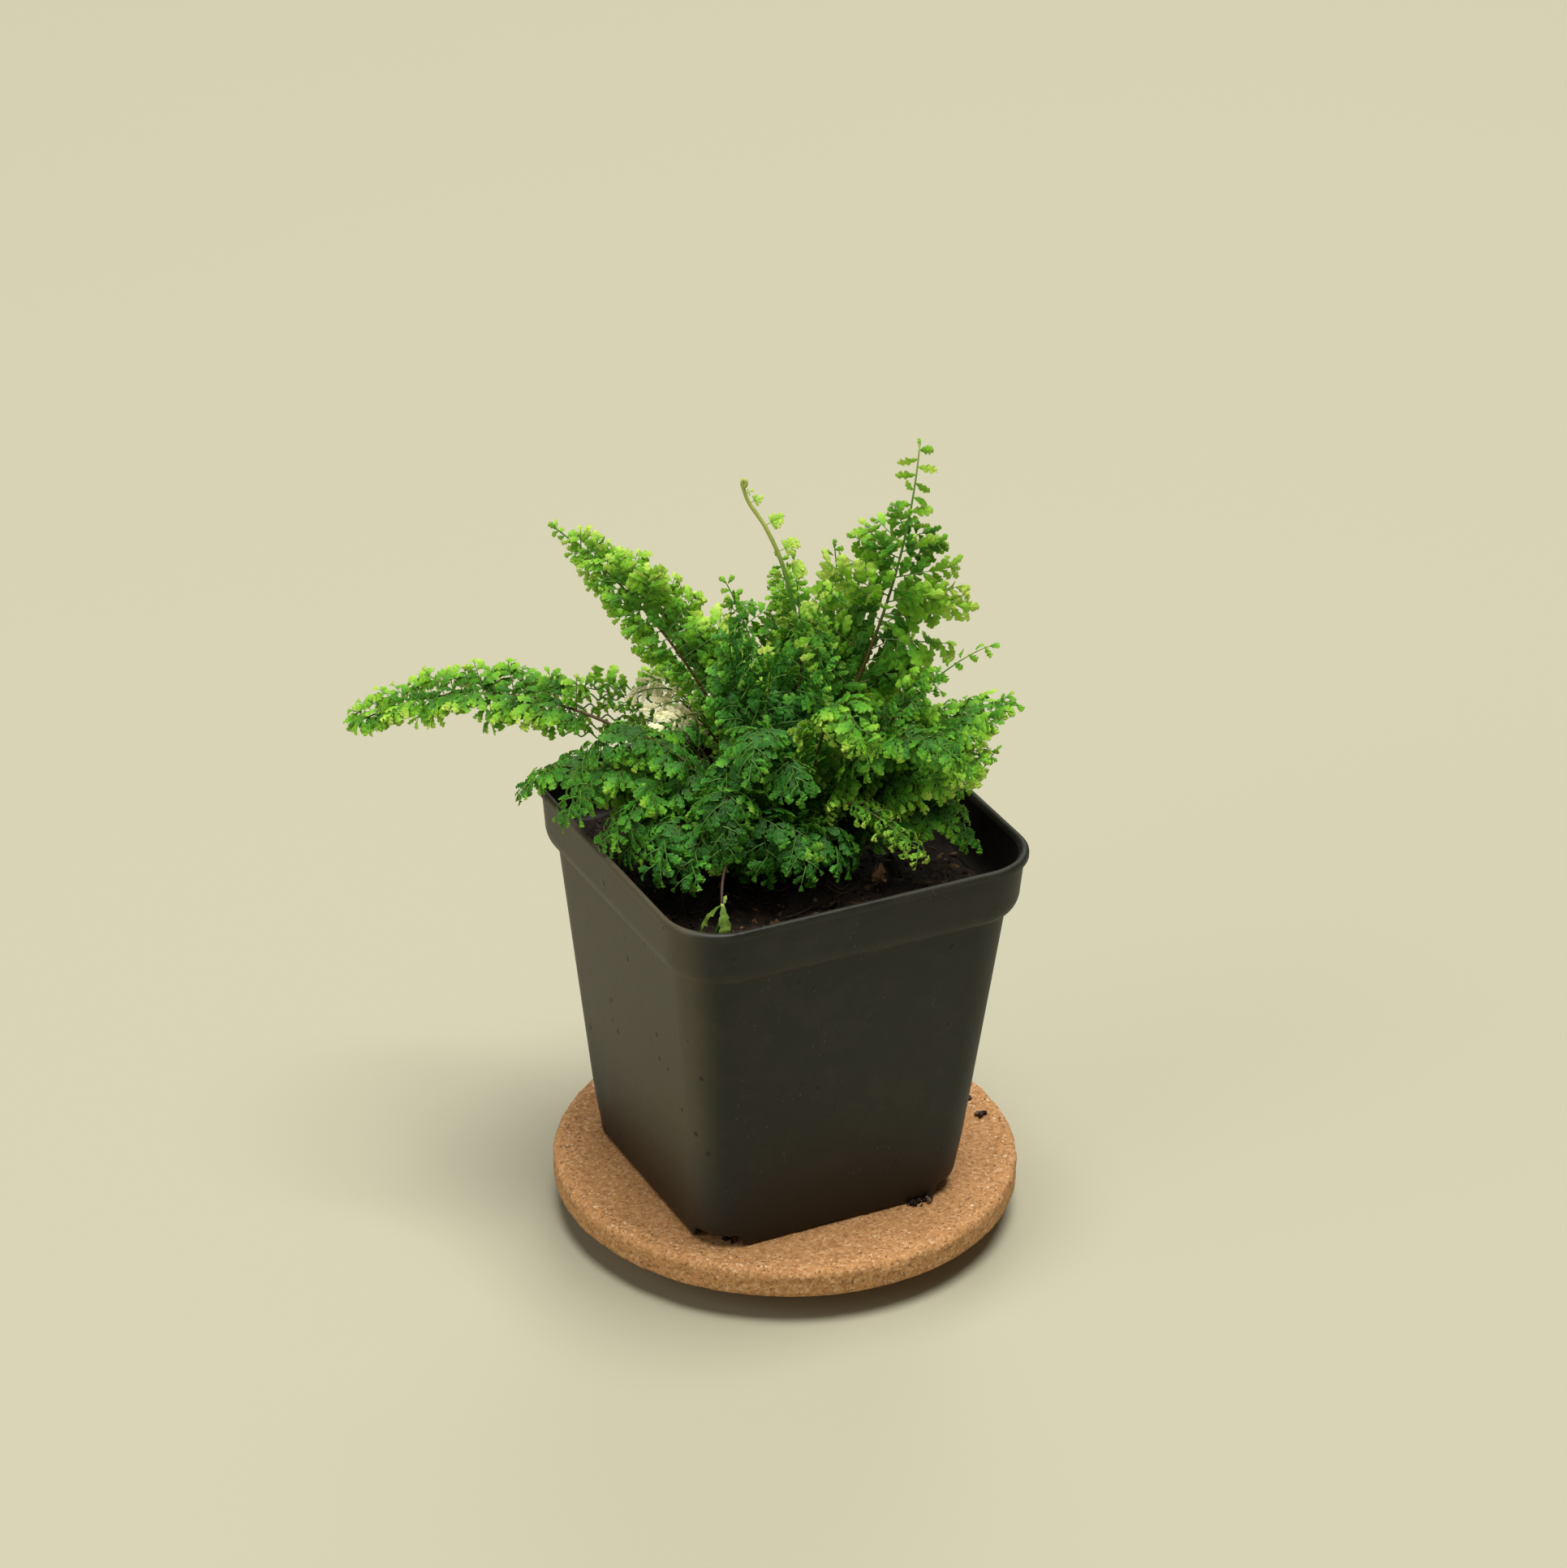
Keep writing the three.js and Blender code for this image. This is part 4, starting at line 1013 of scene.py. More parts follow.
def growFrond(frond, rng):
    # Leaflets by turns left and right of each pinna, one at its end, and one at the rib's
    plan = pinnaPlan(frond, rng)
    reach, share = plan["reach"], plan["share"]
    # Short pinnae near the tips carry small leaflets
    size = frond["leafSize"] + growth["leafGrowth"] * reach
    size = size * np.clip(0.35 + 1.3 * reach / frond["reach"], 0.5, 1)
    perSide = np.round((reach - 2.0) / (frond["leafGap"] * size))
    perSide = np.clip(perSide, 0, growth["mostPerSide"]).astype(int)
    perSide = np.where(reach < frond["single"], 0, perSide)
    which = np.repeat(np.arange(len(reach)), 2 * perSide)
    order = np.concatenate([np.arange(2 * n) for n in perSide])
    flank = np.where(order % 2 == 0, 1.0, -1.0)
    clear = frond["clear"]
    s = clear + (1 - clear) * (order / 2 + 0.35) / (perSide[which] + 0.8)
    root, ahead, above = alongPinna(plan, which, s)
    twist = (rng.normal(0, growth["twist"], len(reach)) * plan["side"])[which]
    above = turned(above, ahead, twist)
    wide, less, sway = growth["spread"]
    spread = wide - less * s + rng.normal(0, sway, len(s))
    along = ahead * np.cos(spread)[:, None] + np.cross(above, ahead) * (flank * np.sin(spread))[:, None]
    length = size[which] * (1 - growth["shorter"] * s ** 1.5) * rng.uniform(0.82, 1.1, len(s))
    endPlaces = np.full(len(reach), growth["endPlace"])
    tipRoot, tipAlong, tipUp = alongPinna(plan, np.arange(len(reach)), endPlaces)
    # The shortest pinnae are one lobed leaflet each
    tipRoot = np.where((perSide == 0)[:, None], plan["at"], tipRoot)
    tipLength = np.where(perSide == 0, np.clip(reach, *growth["singleLength"]), 0.5 * size)
    ribTip, ribAlong, _, ribUp, _ = ribFrames(frond, [growth["end"] - 0.01])
    root = np.concatenate([root, tipRoot, ribTip])
    along = np.concatenate([along, tipAlong, ribAlong])
    above = np.concatenate([above, tipUp, ribUp])
    length = np.concatenate([length, tipLength, [growth["ribTipLength"]]])
    count = len(root)
    ownShare = np.clip(np.concatenate([share[which], share, [1.0]]), 0, 1)
    ownOut = np.concatenate([s * reach[which], reach, [0.0]]) / frond["reach"]
    # Leaflets stand off the pinna's plane by chance, and hang a little
    along = along + above * rng.normal(0.05, 0.2, count)[:, None]
    sag = frond["sag"] * rng.uniform(0.3, 1.7, count)
    along = unit(along - sag[:, None] * upright)
    above = turned(squareTo(above, along), along, rng.normal(0, 0.25, count))
    # Leaves are younger towards the frond's tip and away from its rib
    start, outer, late = growth["youth"]
    young = frond["young"] + start + outer * ownOut + late * ownShare ** 2 + rng.normal(0, 0.07, count)
    young += np.concatenate([plan["young"][which], plan["young"], [0.0]])
    longest, less = growth["fanBelow"]
    leaves = leafSet(root, along, above, length, young, np.clip((longest - length) / less, 0, 1),
                     fold=rng.uniform(*growth["fold"], count),
                     droop=rng.uniform(*growth["droop"], count) * frond["curl"],
                     slim=rng.uniform(0.85, 1.15, count) * frond["slim"])
    return leaves, frondTubes(frond, plan, perSide)


def frondTubes(frond, plan, perSide):
    # The rib and a thin stalk along each pinna, all thinner towards their tips
    ribShare = np.linspace(0, growth["end"], growth["ribSteps"])
    ribPoints, _, _ = ribAt(frond["route"], ribShare)
    ribRadius = frond["rib"] * (1 - growth["ribThinner"] * ribShare)
    ribTube = (ribPoints[None], ribRadius[None], 7, (frond["paleEnd"] * ribShare)[None])
    grown = np.flatnonzero(perSide > 0)
    steps = np.linspace(0, 0.9, 7)
    path = np.stack([alongPinna(plan, grown, np.full(len(grown), step))[0] for step in steps], axis=1)
    thick, thinner = growth["stalkRadius"]
    radius = np.broadcast_to(thick - thinner * steps, path.shape[:2])
    green, paler = growth["stalkShade"]
    shade = np.broadcast_to(green + paler * np.clip(plan["share"][grown], 0, 1)[:, None], path.shape[:2])
    return [ribTube, (path, radius, 4, shade)]


# Side fronds have a thin rib whose end is less pale
sideRib = {"rib": 0.34, "paleEnd": 0.8}


def forked(frond, turn, scale, lift=0, young=0.0):
    # A side frond from the same foot: the route turned about it, shortened, and its tip lifted
    c, s = math.cos(math.radians(turn)), math.sin(math.radians(turn))
    foot = np.array(frond["route"][0], float)
    way = (np.array(frond["route"], float) - foot) * scale
    way = np.stack([way[:, 0] * c - way[:, 1] * s, way[:, 0] * s + way[:, 1] * c, way[:, 2]], axis=-1)
    way[2:, 2] += lift
    return {**frond, **sideRib, "route": way + foot, "young": frond["young"] + young}


lace = {
    "steps": 60,
    "waveLength": 4.4,
    "waveHeight": 0.75,
    "sag": 3,
    "leafGap": 2.1,
    "stalk": 0.2,
    "shade": 0.76,
    "slim": 0.75,
}


def laceRow(start, end, size, rng):
    # One wavy stalk with small upright leaflets:
    # start + (end - start) s + upright (h sin(2 pi s way / waveLength) - sag s (1 - s))
    start, end = np.array(start, float), np.array(end, float)
    way = np.linalg.norm(end - start)
    s = np.linspace(0, 1, lace["steps"])[:, None]
    wave = lace["waveHeight"] * np.sin(2 * np.pi * s * way / lace["waveLength"]) - lace["sag"] * s * (1 - s)
    path = start + (end - start) * s + upright * wave + upright * stemFootZ
    count = int(way / lace["leafGap"])
    which = np.linspace(1, lace["steps"] - 2, count).astype(int)
    along = unit(np.array([-0.1, 0.15, 1.0]) + 0.45 * rng.normal(size=(count, 3)))
    up = unit(np.cross(along, unit(end - start)) * rng.choice([-1, 1], count)[:, None])
    leaves = leafSet(path[which], along, up, length=size * rng.uniform(0.6, 1.25, count),
                     young=rng.uniform(0.3, 0.75, count), fan=rng.uniform(0, 0.8, count),
                     fold=rng.uniform(*growth["fold"], count), droop=rng.uniform(0.2, 0.9, count),
                     slim=np.full(count, lace["slim"]))
    level = np.ones((1, lace["steps"]))
    return leaves, [(path[None], lace["stalk"] * level, 5, lace["shade"] * level)]


def addFrond(index, frond):
    # The frond, its forks and its lace rows as one piece
    frond = {**habit, **frond}
    rng = np.random.default_rng(700 + index)
    every = [frond] + [forked(frond, *fork) for fork in frond["forks"]]
    grown = [growFrond(one, rng) for one in every] + [laceRow(*row, rng) for row in frond["rows"]]
    tubes = [tube for _, tubeSet in grown for tube in tubeSet]
    piece = growPiece(frond["node"] + "_leaves", "frond_" + frond["tone"], frond["tone"],
                      [leaves for leaves, _ in grown], tubes, rng)
    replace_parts(piece, frond["node"])
    return len(piece.data.polygons)


# Each rib is a cubic curve: foot, two handles, tip, with heights above the stems' foot level.
# Forks are side fronds from the same foot: turn about it in degrees, scale, lift of the tip, youth.
# Rows are wavy stalks: right end, left end, length of their leaflets
fronds = [
    {"node": "frond_long_left", "tone": "fresh", "reach": 9.5, "cup": 17, "bare": 0.5, "foot": 0.46,
     "taper": 0.35, "dense": 1.5, "roll": -28, "raise": 0.4, "hang": 0.05, "young": 0.15, "rib": 0.55,
     "route": [(-7, 9, 0), (-13, 10, 26), (-45, 46, 47), (-79, 65, 21)]},
    {"node": "frond_upper_left", "tone": "fresh", "reach": 14, "cup": 20, "full": 0.4, "taper": 0.8,
     "sides": ((0.25, 0.9), (1.05, 1.2)), "dense": 1.85, "roll": -60, "sag": 0.35, "clear": 0.05,
     "young": 0.22, "rib": 0.55, "route": [(-4, 6, 0), (-1, 9, 19), (-13, 19, 53), (-40, 38, 77)]},
    {"node": "frond_tall_right", "tone": "fresh", "reach": 19, "cup": 26, "foot": 0.3, "full": 0.48,
     "taper": 1.4, "least": 0.27, "crowding": 0.9, "dense": 1.55, "roll": 62, "raise": 0.1, "stand": 0,
     "hang": 0.1, "sag": 0.6, "clear": 0.03, "single": 7.5, "leafSize": 3.6, "young": 0.17, "slim": 0.63,
     "rib": 0.6, "paleEnd": 1.0, "route": [(3, 1, 0), (7, 2, 24), (28, -4, 52), (33, 0, 100)]},
    {"node": "frond_back_centre", "tone": "fresh", "reach": 12, "cup": 16, "bare": 0.42, "taper": 0.7,
     "young": 0.16, "forks": [(-22, 1.0, 5)], "route": [(2, 4, 0), (3, 8, 16), (12, 28, 34), (3, 37, 55)]},
    {"node": "frond_back_right_tall", "tone": "fresh", "reach": 9, "bare": 0.4, "taper": 0.8, "young": 0.1,
     "forks": [(24, 0.95, 0), (-18, 0.85)], "route": [(6, 6, 0), (11, 11, 15), (26, 17, 35), (23, 21, 67)]},
    {"node": "frond_right_upper", "tone": "fresh", "reach": 10, "cup": 15, "bare": 0.4, "taper": 1.5,
     "least": 0.3, "crowding": 0.9, "roll": 38, "young": 0.09, "slim": 0.85, "paleEnd": 1.0,
     "route": [(7, 1, 0), (13, 2, 15), (26, -15, 51), (40, -25, 59)]},
    {"node": "frond_right_middle", "tone": "fresh", "reach": 11, "cup": 15, "bare": 0.36, "full": 0.55,
     "taper": 0.6, "dense": 1.3, "roll": 32, "young": 0.05, "forks": [(-10, 0.9, -6)],
     "route": [(10, -3, 0), (17, -7, 14), (21, -21, 39), (44, -31, 46)]},
    {"node": "frond_right_low", "tone": "leaf", "reach": 9, "bare": 0.36, "roll": 20, "hang": 0.4,
     "young": 0.04, "route": [(7, -6, 0), (14, -15, 12), (24, -27, 33), (33, -34, 13)]},
    {"node": "frond_right_inner", "tone": "leaf", "reach": 11, "hang": 0.4, "young": -0.03,
     "forks": [(24, 0.7)], "route": [(6, -2, 0), (10, -6, 12), (13, -26, 60), (27, -39, 35)]},
    {"node": "frond_back_left_lace", "tone": "leaf", "reach": 6, "dense": 0.8, "roll": -50, "sag": 0,
     "clear": 0.15, "leafSize": 1.4, "leafGap": 0.6, "young": 0.2, "rib": 0.3,
     "rows": [((-8, 27, 34), (-30, 52, 28), 4.6), ((-8, 27, 31.5), (-36, 59, 23.5), 3.2),
              ((-8, 27, 28.8), (-36, 59, 20.9), 2.8), ((-8, 27, 26.1), (-36, 59, 18.3), 2.8),
              ((-8, 27, 23.4), (-34, 57, 16.2), 3.0), ((-8, 27, 20.7), (-30, 52, 15.2), 3.4)],
     "route": [(-3, 12, 0), (-5, 19, 20), (-12, 39, 32), (-37, 60, 25)]},
    {"node": "frond_back_left", "tone": "leaf", "reach": 10, "cup": 16, "taper": 0.6,
     "route": [(1, 12, 0), (1, 20, 18), (7, 37, 34), (-5, 60, 21)]},
    {"node": "frond_left_low", "tone": "leaf", "reach": 11, "cup": 17, "hang": 0.4,
     "route": [(-9, 6, 0), (-20, 7, 14), (-42, 22, 35), (-51, 32, 12)]},
    {"node": "frond_left_front", "tone": "leaf", "reach": 11.5, "cup": 17, "hang": 0.4,
     "forks": [(14, 0.82)], "route": [(-10, 2, 0), (-18, 3, 15), (-38, 8, 47), (-51, 7, 17)]},
    {"node": "frond_left_inner", "tone": "leaf", "reach": 11.5, "cup": 17, "bare": 0.4, "hang": 0.35,
     "forks": [(14, 0.72), (-30, 0.7, 6, 0.1)],
     "route": [(-5, 1, 0), (-11, 1, 14), (-34, 7, 57), (-45, 14, 25)]},
    {"node": "frond_front_left", "tone": "deep", "reach": 10.5, "bare": 0.3, "hang": 0.4,
     "forks": [(-18, 1.0), (16, 0.95)],
     "route": [(-9, -2, 0), (-18, -6, 12), (-32, -8, 34), (-38, -14, 11)]},
    {"node": "frond_front", "tone": "deep", "reach": 10.5, "bare": 0.3, "hang": 0.4,
     "forks": [(22, 0.8), (-20, 0.8)],
     "route": [(-6, -6, 0), (-13, -12, 14), (-23, -14, 50), (-26, -24, 17)]},
    {"node": "frond_front_right", "tone": "deep", "reach": 9.5, "bare": 0.3, "hang": 0.4,
     "forks": [(30, 0.85), (-24, 0.85)],
     "route": [(-2, -8, 0), (-5, -17, 13), (-11, -20, 34), (-8, -31, 12)]},
    {"node": "frond_front_curled", "tone": "bright", "reach": 8, "cup": 8, "bare": 0.42, "taper": 0.3,
     "dense": 0.9, "leafSize": 1.8, "leafGap": 0.5, "young": 0.3, "slim": 0.65, "curl": 2.4,
     "route": [(4, -8, 0), (8, -17, 16), (-3, -16, 38), (18, -39, 16)]},
    {"node": "frond_centre_left", "tone": "deep", "reach": 12, "bare": 0.3, "hang": 0.3,
     "forks": [(-50, 0.8), (-93, 0.98, 0, 0.25), (-120, 0.85, 0, 0.2)],
     "route": [(0, 0, 0), (-2, -2, 15), (-12, 10, 45), (-7, 12, 62)]},
    {"node": "frond_centre_front", "tone": "deep", "reach": 11, "bare": 0.3, "hang": 0.4,
     "forks": [(28, 0.8), (-28, 0.75)], "route": [(-3, -3, 0), (-7, -6, 18), (-6, -4, 58), (-21, -25, 37)]},
    {"node": "frond_centre_right", "tone": "bright", "reach": 10, "bare": 0.42, "hang": 0.4, "young": 0.1,
     "route": [(2, -4, 0), (3, -8, 18), (8, -6, 66), (7, -29, 37)]},
    {"node": "frond_pale", "tone": "pale", "reach": 14, "cup": 22, "bare": 0.6, "foot": 0.6, "taper": 0.3,
     "sides": ((1.3, 1.1), (0.5, 0.5)), "leafSize": 2.4, "leafGap": 0.45, "young": 0.5, "slim": 0.5,
     "route": [(0, 8, 0), (-1, 13, 17), (-11, 20, 32), (-19, 31, 38)]},
    {"node": "frond_back_far_right", "tone": "leaf", "reach": 10, "cup": 15, "bare": 0.38, "taper": 0.6,
     "route": [(10, 7, 0), (20, 11, 12), (25, 12, 42), (51, 20, 27)]},
    {"node": "frond_back_far", "tone": "leaf", "reach": 10, "cup": 15, "bare": 0.38, "taper": 0.6,
     "route": [(7, 10, 0), (14, 18, 12), (10, 24, 40), (30, 41, 28)]},
    {"node": "frond_right_back", "tone": "leaf", "reach": 10, "cup": 15, "bare": 0.38, "taper": 0.6,
     "route": [(12, 2, 0), (23, 1, 12), (26, -2, 34), (52, -5, 26)]},
    {"node": "sprig_right", "tone": "bright", "reach": 4, "cup": 10, "bare": 0.4, "taper": 0.4,
     "leafSize": 2.4, "route": [(22, -9, -3), (25, -10, 11), (37, -16, 12), (44, -20, 29)]},
]

leafFaces = sum(addFrond(index, frond) for index, frond in enumerate(fronds))
print("fronds ready:", leafFaces, "faces")


# Young curled stalk with small fans on one side

fiddlehead = {
    # points that the stalk passes through, above the stems' foot level
    "route": [(-1, 3, 0), (0, 4, 13), (6.5, 8.5, 34), (9.5, 12, 50), (6.8, 13.7, 66.3), (3.3, 16, 76.5),
              (-0.1, 18.2, 82.8), (-1.6, 18.9, 87.4)],
    "radius": (0.66, 0.4),
    "towards": (0.87, -0.49, 0.0),
    "coilRadius": 0.6,
    "coilTurn": 4.6,
    "coilSqueeze": 0.15,
    "coilHeight": 2.3,
    "bud": 0.52,
    # shares of a sprout's length in its thin footstalk and in its leaflets
    "footstalk": 0.35,
    "leafShare": 0.72,
    "footstalkRadius": 0.13,
    "young": 0.72,
    # share of the route, side, length of the leaflets, how many
    "sprouts": [(0.64, 1, 5.2, 6), (0.735, 1, 4.6, 6), (0.857, 1, 3.6, 5), (0.93, 1, 2.0, 3),
                (0.90, -1, 0.8, 2), (0.78, -1, 0.9, 2), (0.56, -1, 4.2, 6), (0.57, 1, 5.2, 7),
                (0.48, 1, 5.8, 8), (0.46, -1, 5.4, 8)],
    "seed": 61,
}


def throughPoints(points, steps):
    # A smooth curve through all points:
    # (2b + (c - a) t + (2a - 5b + 4c - d) t^2 + (3b - a - 3c + d) t^3) / 2
    p = np.array(points, float)
    p = np.concatenate([2 * p[:1] - p[1:2], p, 2 * p[-1:] - p[-2:-1]])
    s = np.linspace(0, len(points) - 1, steps)
    i = np.minimum(s.astype(int), len(points) - 2)
    t = (s - i)[:, None]
    a, b, c, d = p[i], p[i + 1], p[i + 2], p[i + 3]
    square, cube = 2 * a - 5 * b + 4 * c - d, 3 * b - a - 3 * c + d
    return (2 * b + (c - a) * t + square * t ** 2 + cube * t ** 3) / 2


def fanOfLeaflets(root, outward, normal, length, count, young, rng):
    # Leaflets side by side on one point, spread evenly over an angle in the plane square to normal
    spread = np.linspace(-1.25, 1.25, count) + rng.normal(0, 0.08, count)
    outward, normal = unit(np.array(outward, float)), unit(np.array(normal, float))
    over = np.cross(normal, outward)
    along = outward * np.cos(spread)[:, None] + over * np.sin(spread)[:, None]
    up = unit(normal - (along @ normal)[:, None] * along)
    return leafSet(np.tile(root, (count, 1)), along, up,
                   length=length * (1 - 0.3 * np.abs(spread)) * rng.uniform(0.8, 1.15, count),
                   young=young + rng.normal(0, 0.08, count), fan=np.ones(count),
                   fold=rng.uniform(0, 0.5, count), droop=rng.uniform(0.2, 0.7, count),
                   slim=np.full(count, 0.56))


def addFiddlehead():
    # The stalk, then a coil whose radius is R (1 - squeeze a), from the tip over and round
    rng = np.random.default_rng(fiddlehead["seed"])
    stalk = throughPoints(fiddlehead["route"], 90) + upright * stemFootZ
    towards = np.array(fiddlehead["towards"])
    a = np.linspace(0.2, fiddlehead["coilTurn"], 22)
    wide = fiddlehead["coilRadius"]
    r = wide * (1 - fiddlehead["coilSqueeze"] * a)
    rise = fiddlehead["coilHeight"] * r * np.sin(a)
    coil = stalk[-1] + towards * (wide - r * np.cos(a))[:, None] + upright * rise[:, None]
    path = np.concatenate([stalk, coil])
    thick, thin = fiddlehead["radius"]
    budRadius = np.linspace(thin, fiddlehead["bud"], len(coil))
    radius = np.concatenate([np.linspace(thick, thin, len(stalk)), budRadius])
    # Brown at the foot, and pale green from past the middle to the bud
    shade = 0.3 + 0.72 * np.clip(np.linspace(0, 1.8, len(path)), 0, 1)
    facing = np.cross(towards, upright)
    sprouts, tubes = [], [(path[None], radius[None], 10, shade[None])]
    for share, side, length, count in fiddlehead["sprouts"]:
        at = stalk[int(share * (len(stalk) - 1))]
        outward = towards * side * 0.85 + upright * 0.5
        footstalk = at + np.linspace(0, fiddlehead["footstalk"] * length, 6)[:, None] * outward
        radii = np.full((1, 6), fiddlehead["footstalkRadius"])
        tubes.append((footstalk[None], radii, 5, np.full((1, 6), 0.95)))
        normal = facing * side + upright * 0.7
        leafLength, young = fiddlehead["leafShare"] * length, fiddlehead["young"]
        sprouts.append(fanOfLeaflets(footstalk[-1], outward, normal, leafLength, count, young, rng))
    piece = growPiece("fiddlehead_stalk", "frond_bright", "bright", sprouts, tubes, rng)
    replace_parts(piece, "fiddlehead")


addFiddlehead()
print("fiddlehead ready")


# Shoot by the near corner: a bent stalk that ends in hanging straps

shoot = {
    "route": [(-33, -32, -4), (-33, -32, 12), (-29, -34, 9), (-31, -33, 13.5)],
    "brownStalk": [(-19, -16, 12), (-23, -20, 19), (-29, -28, 19), (-31, -33, 13)],
    # direction of each strap, length, how far it curls over, how far along the stalk it stands
    "straps": [((-0.6, 0.25, -0.3), 9.0, 1.1, 1.0), ((-0.1, -0.5, -0.25), 9.0, 1.3, 1.0),
               ((0.3, 0.3, 0.9), 2.8, 0.8, 0.97)],
    "slim": 0.5,
    "radius": (0.55, 0.4),
    "brownRadius": 0.36,
    "seed": 33,
}


def addShoot():
    # Two curved tubes, and straps that stand on the first
    rng = np.random.default_rng(shoot["seed"])
    path, _, _ = ribAt(shoot["route"], np.linspace(0, 1, 24))
    ways, lengths, curls, shares = zip(*shoot["straps"])
    root, _, _ = ribAt(shoot["route"], shares)
    along = unit(np.array(ways))
    up = squareTo(upright, along)
    count = len(lengths)
    straps = leafSet(root, along, up, np.array(lengths), young=rng.uniform(0.35, 0.6, count),
                     fan=np.zeros(count), fold=rng.uniform(0.2, 0.7, count), droop=np.array(curls),
                     slim=np.full(count, shoot["slim"]))
    tube = (path[None], np.linspace(*shoot["radius"], 24)[None], 9, np.linspace(0.4, 1, 24)[None])
    brown, _, _ = ribAt(shoot["brownStalk"], np.linspace(0, 1, 20))
    brownTube = (brown[None], np.full((1, 20), shoot["brownRadius"]), 8, np.linspace(0.12, 0.0, 20)[None])
    piece = growPiece("shoot_corner_leaves", "frond_bright", "olive", [straps], [tube, brownTube], rng)
    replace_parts(piece, "shoot_corner")


addShoot()
print("corner shoot ready")


# Root crown: a brown lump under the stalks, shaggy with hairs

crown = {
    "centre": (1, 2),
    "radius": 13.2,
    "rise": 3.4,
    "depth": 3,
    "hairs": 700,
    "hairLength": (1.5, 4.5),
    "hairDroop": 0.35,
    "seed": 44,
}


def crownRise(share):
    # rise sqrt(1 - share^2.4), with share the part of the way from the middle to the edge
    return crown["rise"] * np.sqrt(np.clip(1 - share ** 2.4, 0, 1))


def addCrown():
    # A knobbly dome, and hairs on it: root + length (s lean - droop s^2 upright)
    rng = np.random.default_rng(crown["seed"])
    turn = np.linspace(0, 2 * np.pi, 60, endpoint=False)
    share = np.concatenate([[0.7, 0.98], np.linspace(1, 0.05, 26)])
    z = np.concatenate([[-crown["depth"], -1], crownRise(share[2:]) + 0.5])
    knob = 1 + 0.05 * np.sin(5 * turn) + 0.04 * np.sin(9 * turn + 1)
    radius = crown["radius"] * share[:, None] * knob
    lump = 0.4 * np.sin(0.9 * radius) * np.sin(7 * turn + radius) * (share < 0.97)[:, None]
    height = stemFootZ + z[:, None] + lump + 0.12 * rng.normal(size=lump.shape)
    points, faces = cappedGrid(aroundAxis(crown["centre"], radius, turn, height))
    count = crown["hairs"]
    around = rng.uniform(0, 2 * np.pi, count)
    out = np.sqrt(rng.uniform(0, 1, count)) * 0.98
    centre = np.array([*crown["centre"], stemFootZ + 0.3])
    outward = np.stack([np.cos(around), np.sin(around), np.zeros(count)], axis=-1)
    root = centre + outward * (out * crown["radius"])[:, None] + upright * crownRise(out)[:, None]
    lean = outward * (0.4 + out)[:, None] + 0.9 * upright + 0.5 * rng.normal(size=(count, 3))
    length = rng.uniform(*crown["hairLength"], count)[:, None, None]
    s = np.linspace(0, 1, 5)[:, None]
    hairs = root[:, None] + length * (s * unit(lean)[:, None] - crown["hairDroop"] * upright * s ** 2)
    radii = np.broadcast_to(0.11 - 0.07 * s[:, 0], hairs.shape[:2])
    hairPoints, quads, triangles = manyTubes(hairs, radii, 4)
    offset = len(points)
    tint = np.concatenate([np.full(offset, 0.35), np.repeat(rng.uniform(0.2, 0.97, count), 5 * 4 + 2)])
    faceSets = [np.concatenate([faces[0], quads + offset]), np.concatenate([faces[1], triangles + offset])]
    points = np.concatenate([points, hairPoints])
    piece = newPiece("crown_hairs", points, faceSets, [crumbFinish],
                     fields={"crumbTint": np.stack([tint] * 3, axis=-1)})
    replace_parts(piece, "root_crown")


addCrown()
print("root crown ready")


# Bits on the soil: fibres, dead leaflets and a few green strands

litter = {
    "fibres": 130,
    "fibreLength": (3, 11),
    "deadLeaves": 260,
    # width of the bare margin by the wall, and the share of the way to it where the last bits lie
    "edge": (2.0, 0.94),
    # dry curled leaves: place, length, direction in degrees, tilt, height over the soil
    "curls": [((14.0, -22.5), 7, 250, -0.6, 8), ((14.6, -22.0), 6, 20, -1.0, 7.5),
              ((13.4, -21.8), 6, 140, -1.4, 7), ((-22, -24), 4.0, 30, 0.6, 0),
              ((5.5, -24), 5.0, 300, 0.5, 0)],
    # green ones: place, length, direction
    "strands": [((-14, -33), 6.5, -20), ((-21, -30), 4.5, 190), ((-4, -34), 4.0, 60),
                ((-30, -26), 4.0, 100)],
    "seed": 72,
}


def lyingLeaves(place, heading, length, young, tilt, rng):
    # Leaflets just over the soil along (cos heading, sin heading, tilt), rolled by chance
    count = len(place)
    root = np.concatenate([place, (soilHeight(*place.T) + 0.25)[:, None]], axis=-1)
    along = unit(np.stack([np.cos(heading), np.sin(heading), tilt], axis=-1))
    up = turned(squareTo(upright, along), along, rng.normal(0, 0.6, count))
    return leafSet(root, along, up, length, young, np.zeros(count), fold=rng.uniform(0.2, 1.1, count),
                   droop=rng.uniform(0.4, 2.2, count), slim=np.full(count, 0.8))


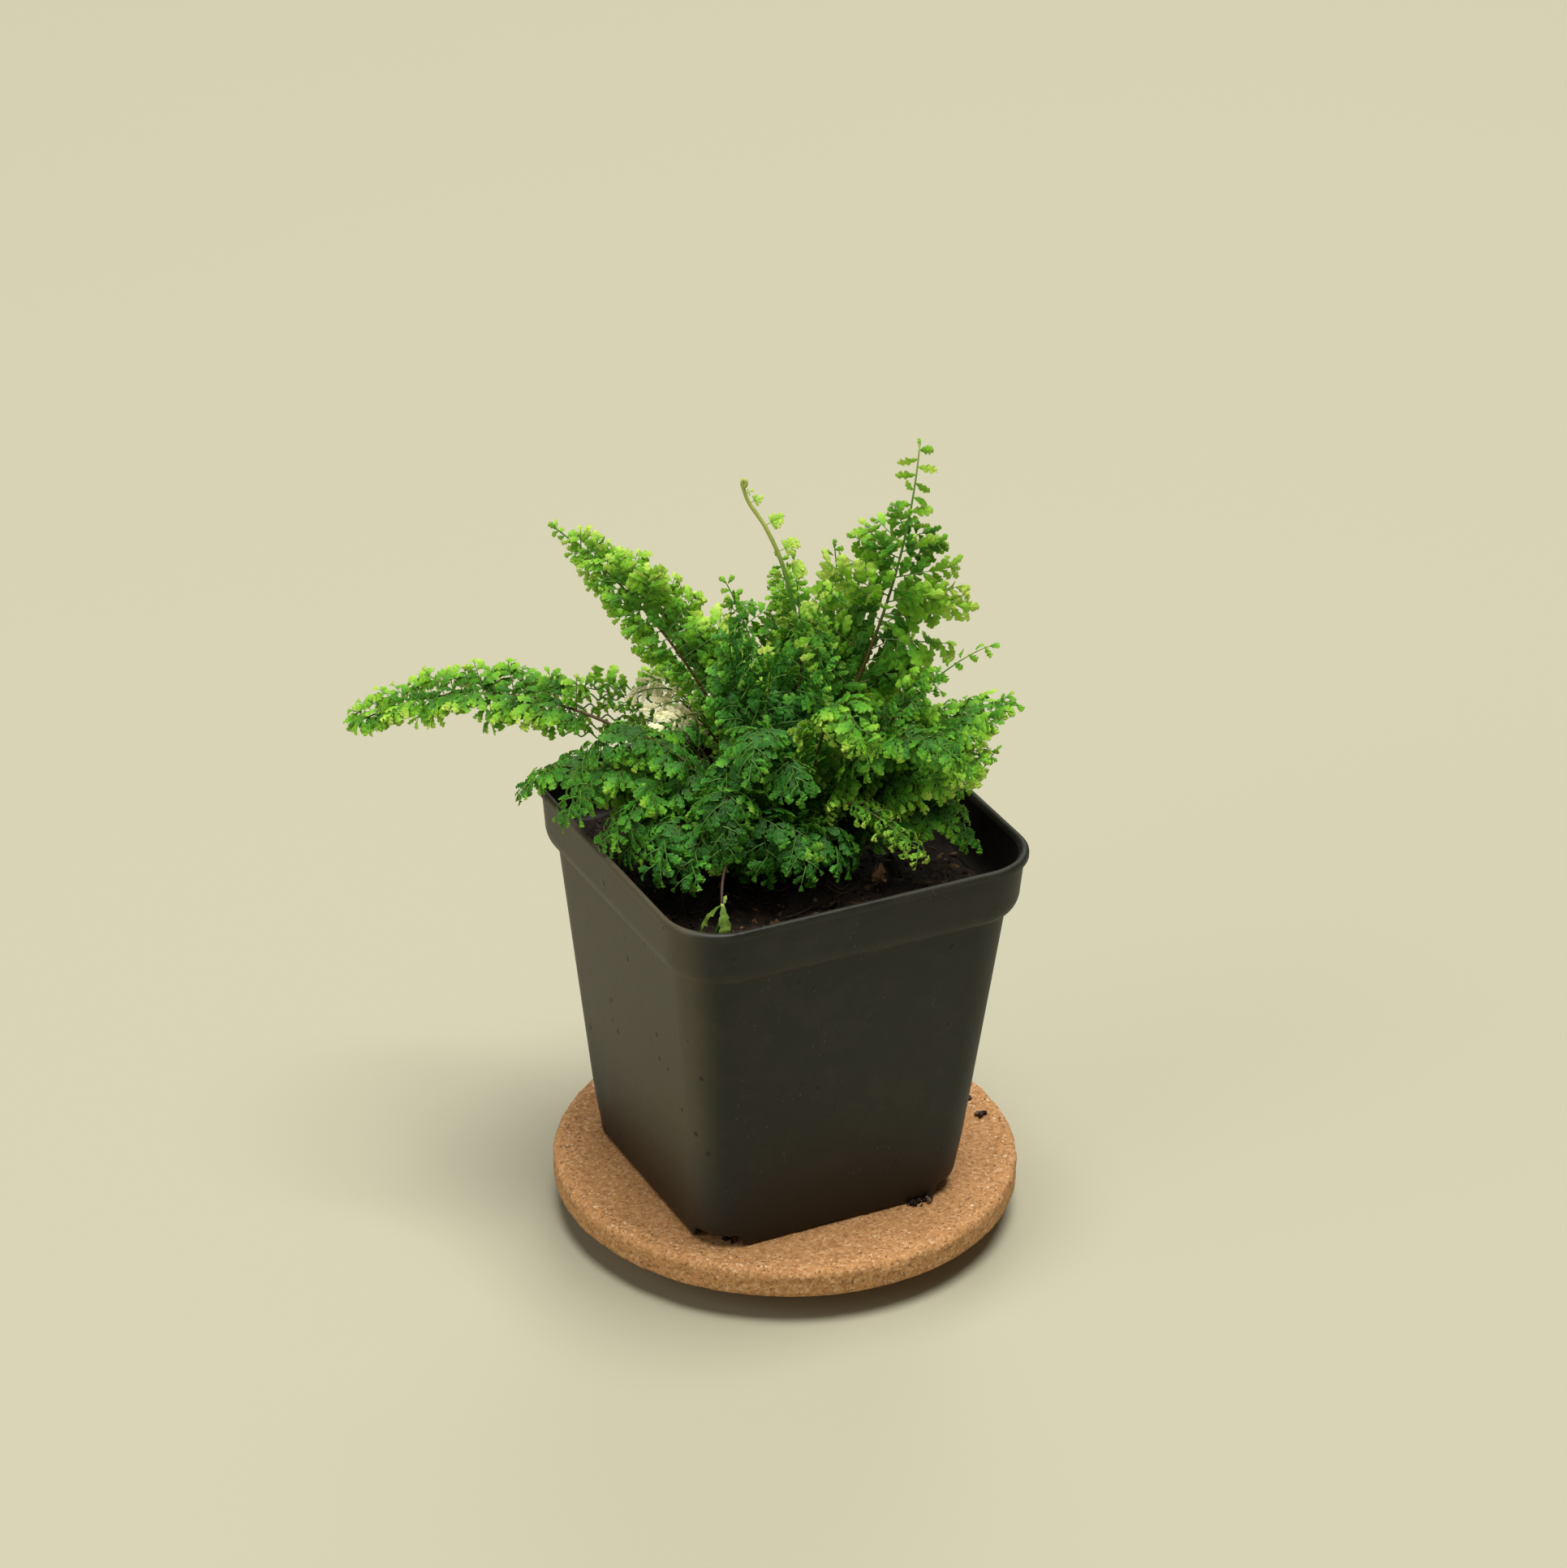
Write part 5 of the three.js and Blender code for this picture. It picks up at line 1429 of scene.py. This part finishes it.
def fibresOnSoil(rng):
    # Bent threads: centre + length s (cos(h + b s), sin(h + b s)), arched by 1 - 4 s^2 over the soil
    place = onSoil(rng, litter["fibres"], *litter["edge"])
    heading = rng.uniform(0, 2 * np.pi, len(place))
    bend = rng.normal(0, 1.2, len(place))
    length = rng.uniform(*litter["fibreLength"], len(place))
    s = np.linspace(-0.5, 0.5, 7)
    angle = heading[:, None] + bend[:, None] * s
    x = place[:, :1] + (length[:, None] * s) * np.cos(angle)
    y = place[:, 1:] + (length[:, None] * s) * np.sin(angle)
    inside = (soilShare(x, y) < 0.97).all(axis=1)
    x, y = x[inside], y[inside]
    arch = rng.uniform(0, 1.2, len(x))[:, None] * (1 - 4 * s ** 2)
    fibres = np.stack([x, y, soilHeight(x, y) + 0.1 + arch], axis=-1)
    radii = np.broadcast_to(rng.uniform(0.06, 0.16, len(x))[:, None], x.shape)
    return fibres, radii, 4, np.broadcast_to(rng.uniform(0.0, 0.55, len(x))[:, None], x.shape)


def addLitter():
    rng = np.random.default_rng(litter["seed"])
    fibres = fibresOnSoil(rng)
    place = onSoil(rng, litter["deadLeaves"], *litter["edge"])
    count = len(place)
    dead = lyingLeaves(place, rng.uniform(0, 2 * np.pi, count), rng.uniform(1.5, 4.0, count),
                       rng.uniform(0.1, 0.95, count), rng.uniform(0, 0.8, count), rng)
    spots, length, heading, tilt, lift = (np.array(part, float) for part in zip(*litter["curls"]))
    curls = lyingLeaves(spots, np.radians(heading), length, np.full(len(spots), 0.9), tilt, rng)
    curls["root"][:, 2] += lift
    curls["slim"] *= 0.7
    curls["droop"] += 1.6
    growPiece("soil_litter", "soil", "dead", [dead, curls], [fibres], rng)
    spots, length, heading = (np.array(part, float) for part in zip(*litter["strands"]))
    level = np.full(len(spots), 0.35)
    green = lyingLeaves(spots, np.radians(heading), length, level, level, rng)
    growPiece("soil_strands", "frond_leaf", "olive", [green], [], rng)


# Crumbs that fell on the cork

spilled = {
    # each cluster's centre, spread and number
    "clusters": [((52.6, 1.2), 0.6, 9), ((51.0, -7.0), 0.8, 10), ((19.2, -33.4), 0.9, 16),
                 ((22.0, -33.6), 0.7, 8), ((-25.5, -28.0), 1.3, 18)],
    "size": (0.6, 1.4),
    "seed": 91,
}


def addSpilled():
    # Places by a normal spread; sizes smallest + u^2 more
    rng = np.random.default_rng(spilled["seed"])
    place = np.concatenate([rng.normal(centre, spread, size=(count, 2))
                            for centre, spread, count in spilled["clusters"]])
    smallest, more = spilled["size"]
    size = rng.uniform(0, 1, len(place)) ** 2 * more + smallest
    height = cork["top"] - cork["dish"] + 0.4 * size
    addCrumbs("spilled_crumbs", np.concatenate([place, height[:, None]], axis=-1), size, rng)


addLitter()
addSpilled()
print("litter ready")

bpy.context.view_layer.update()
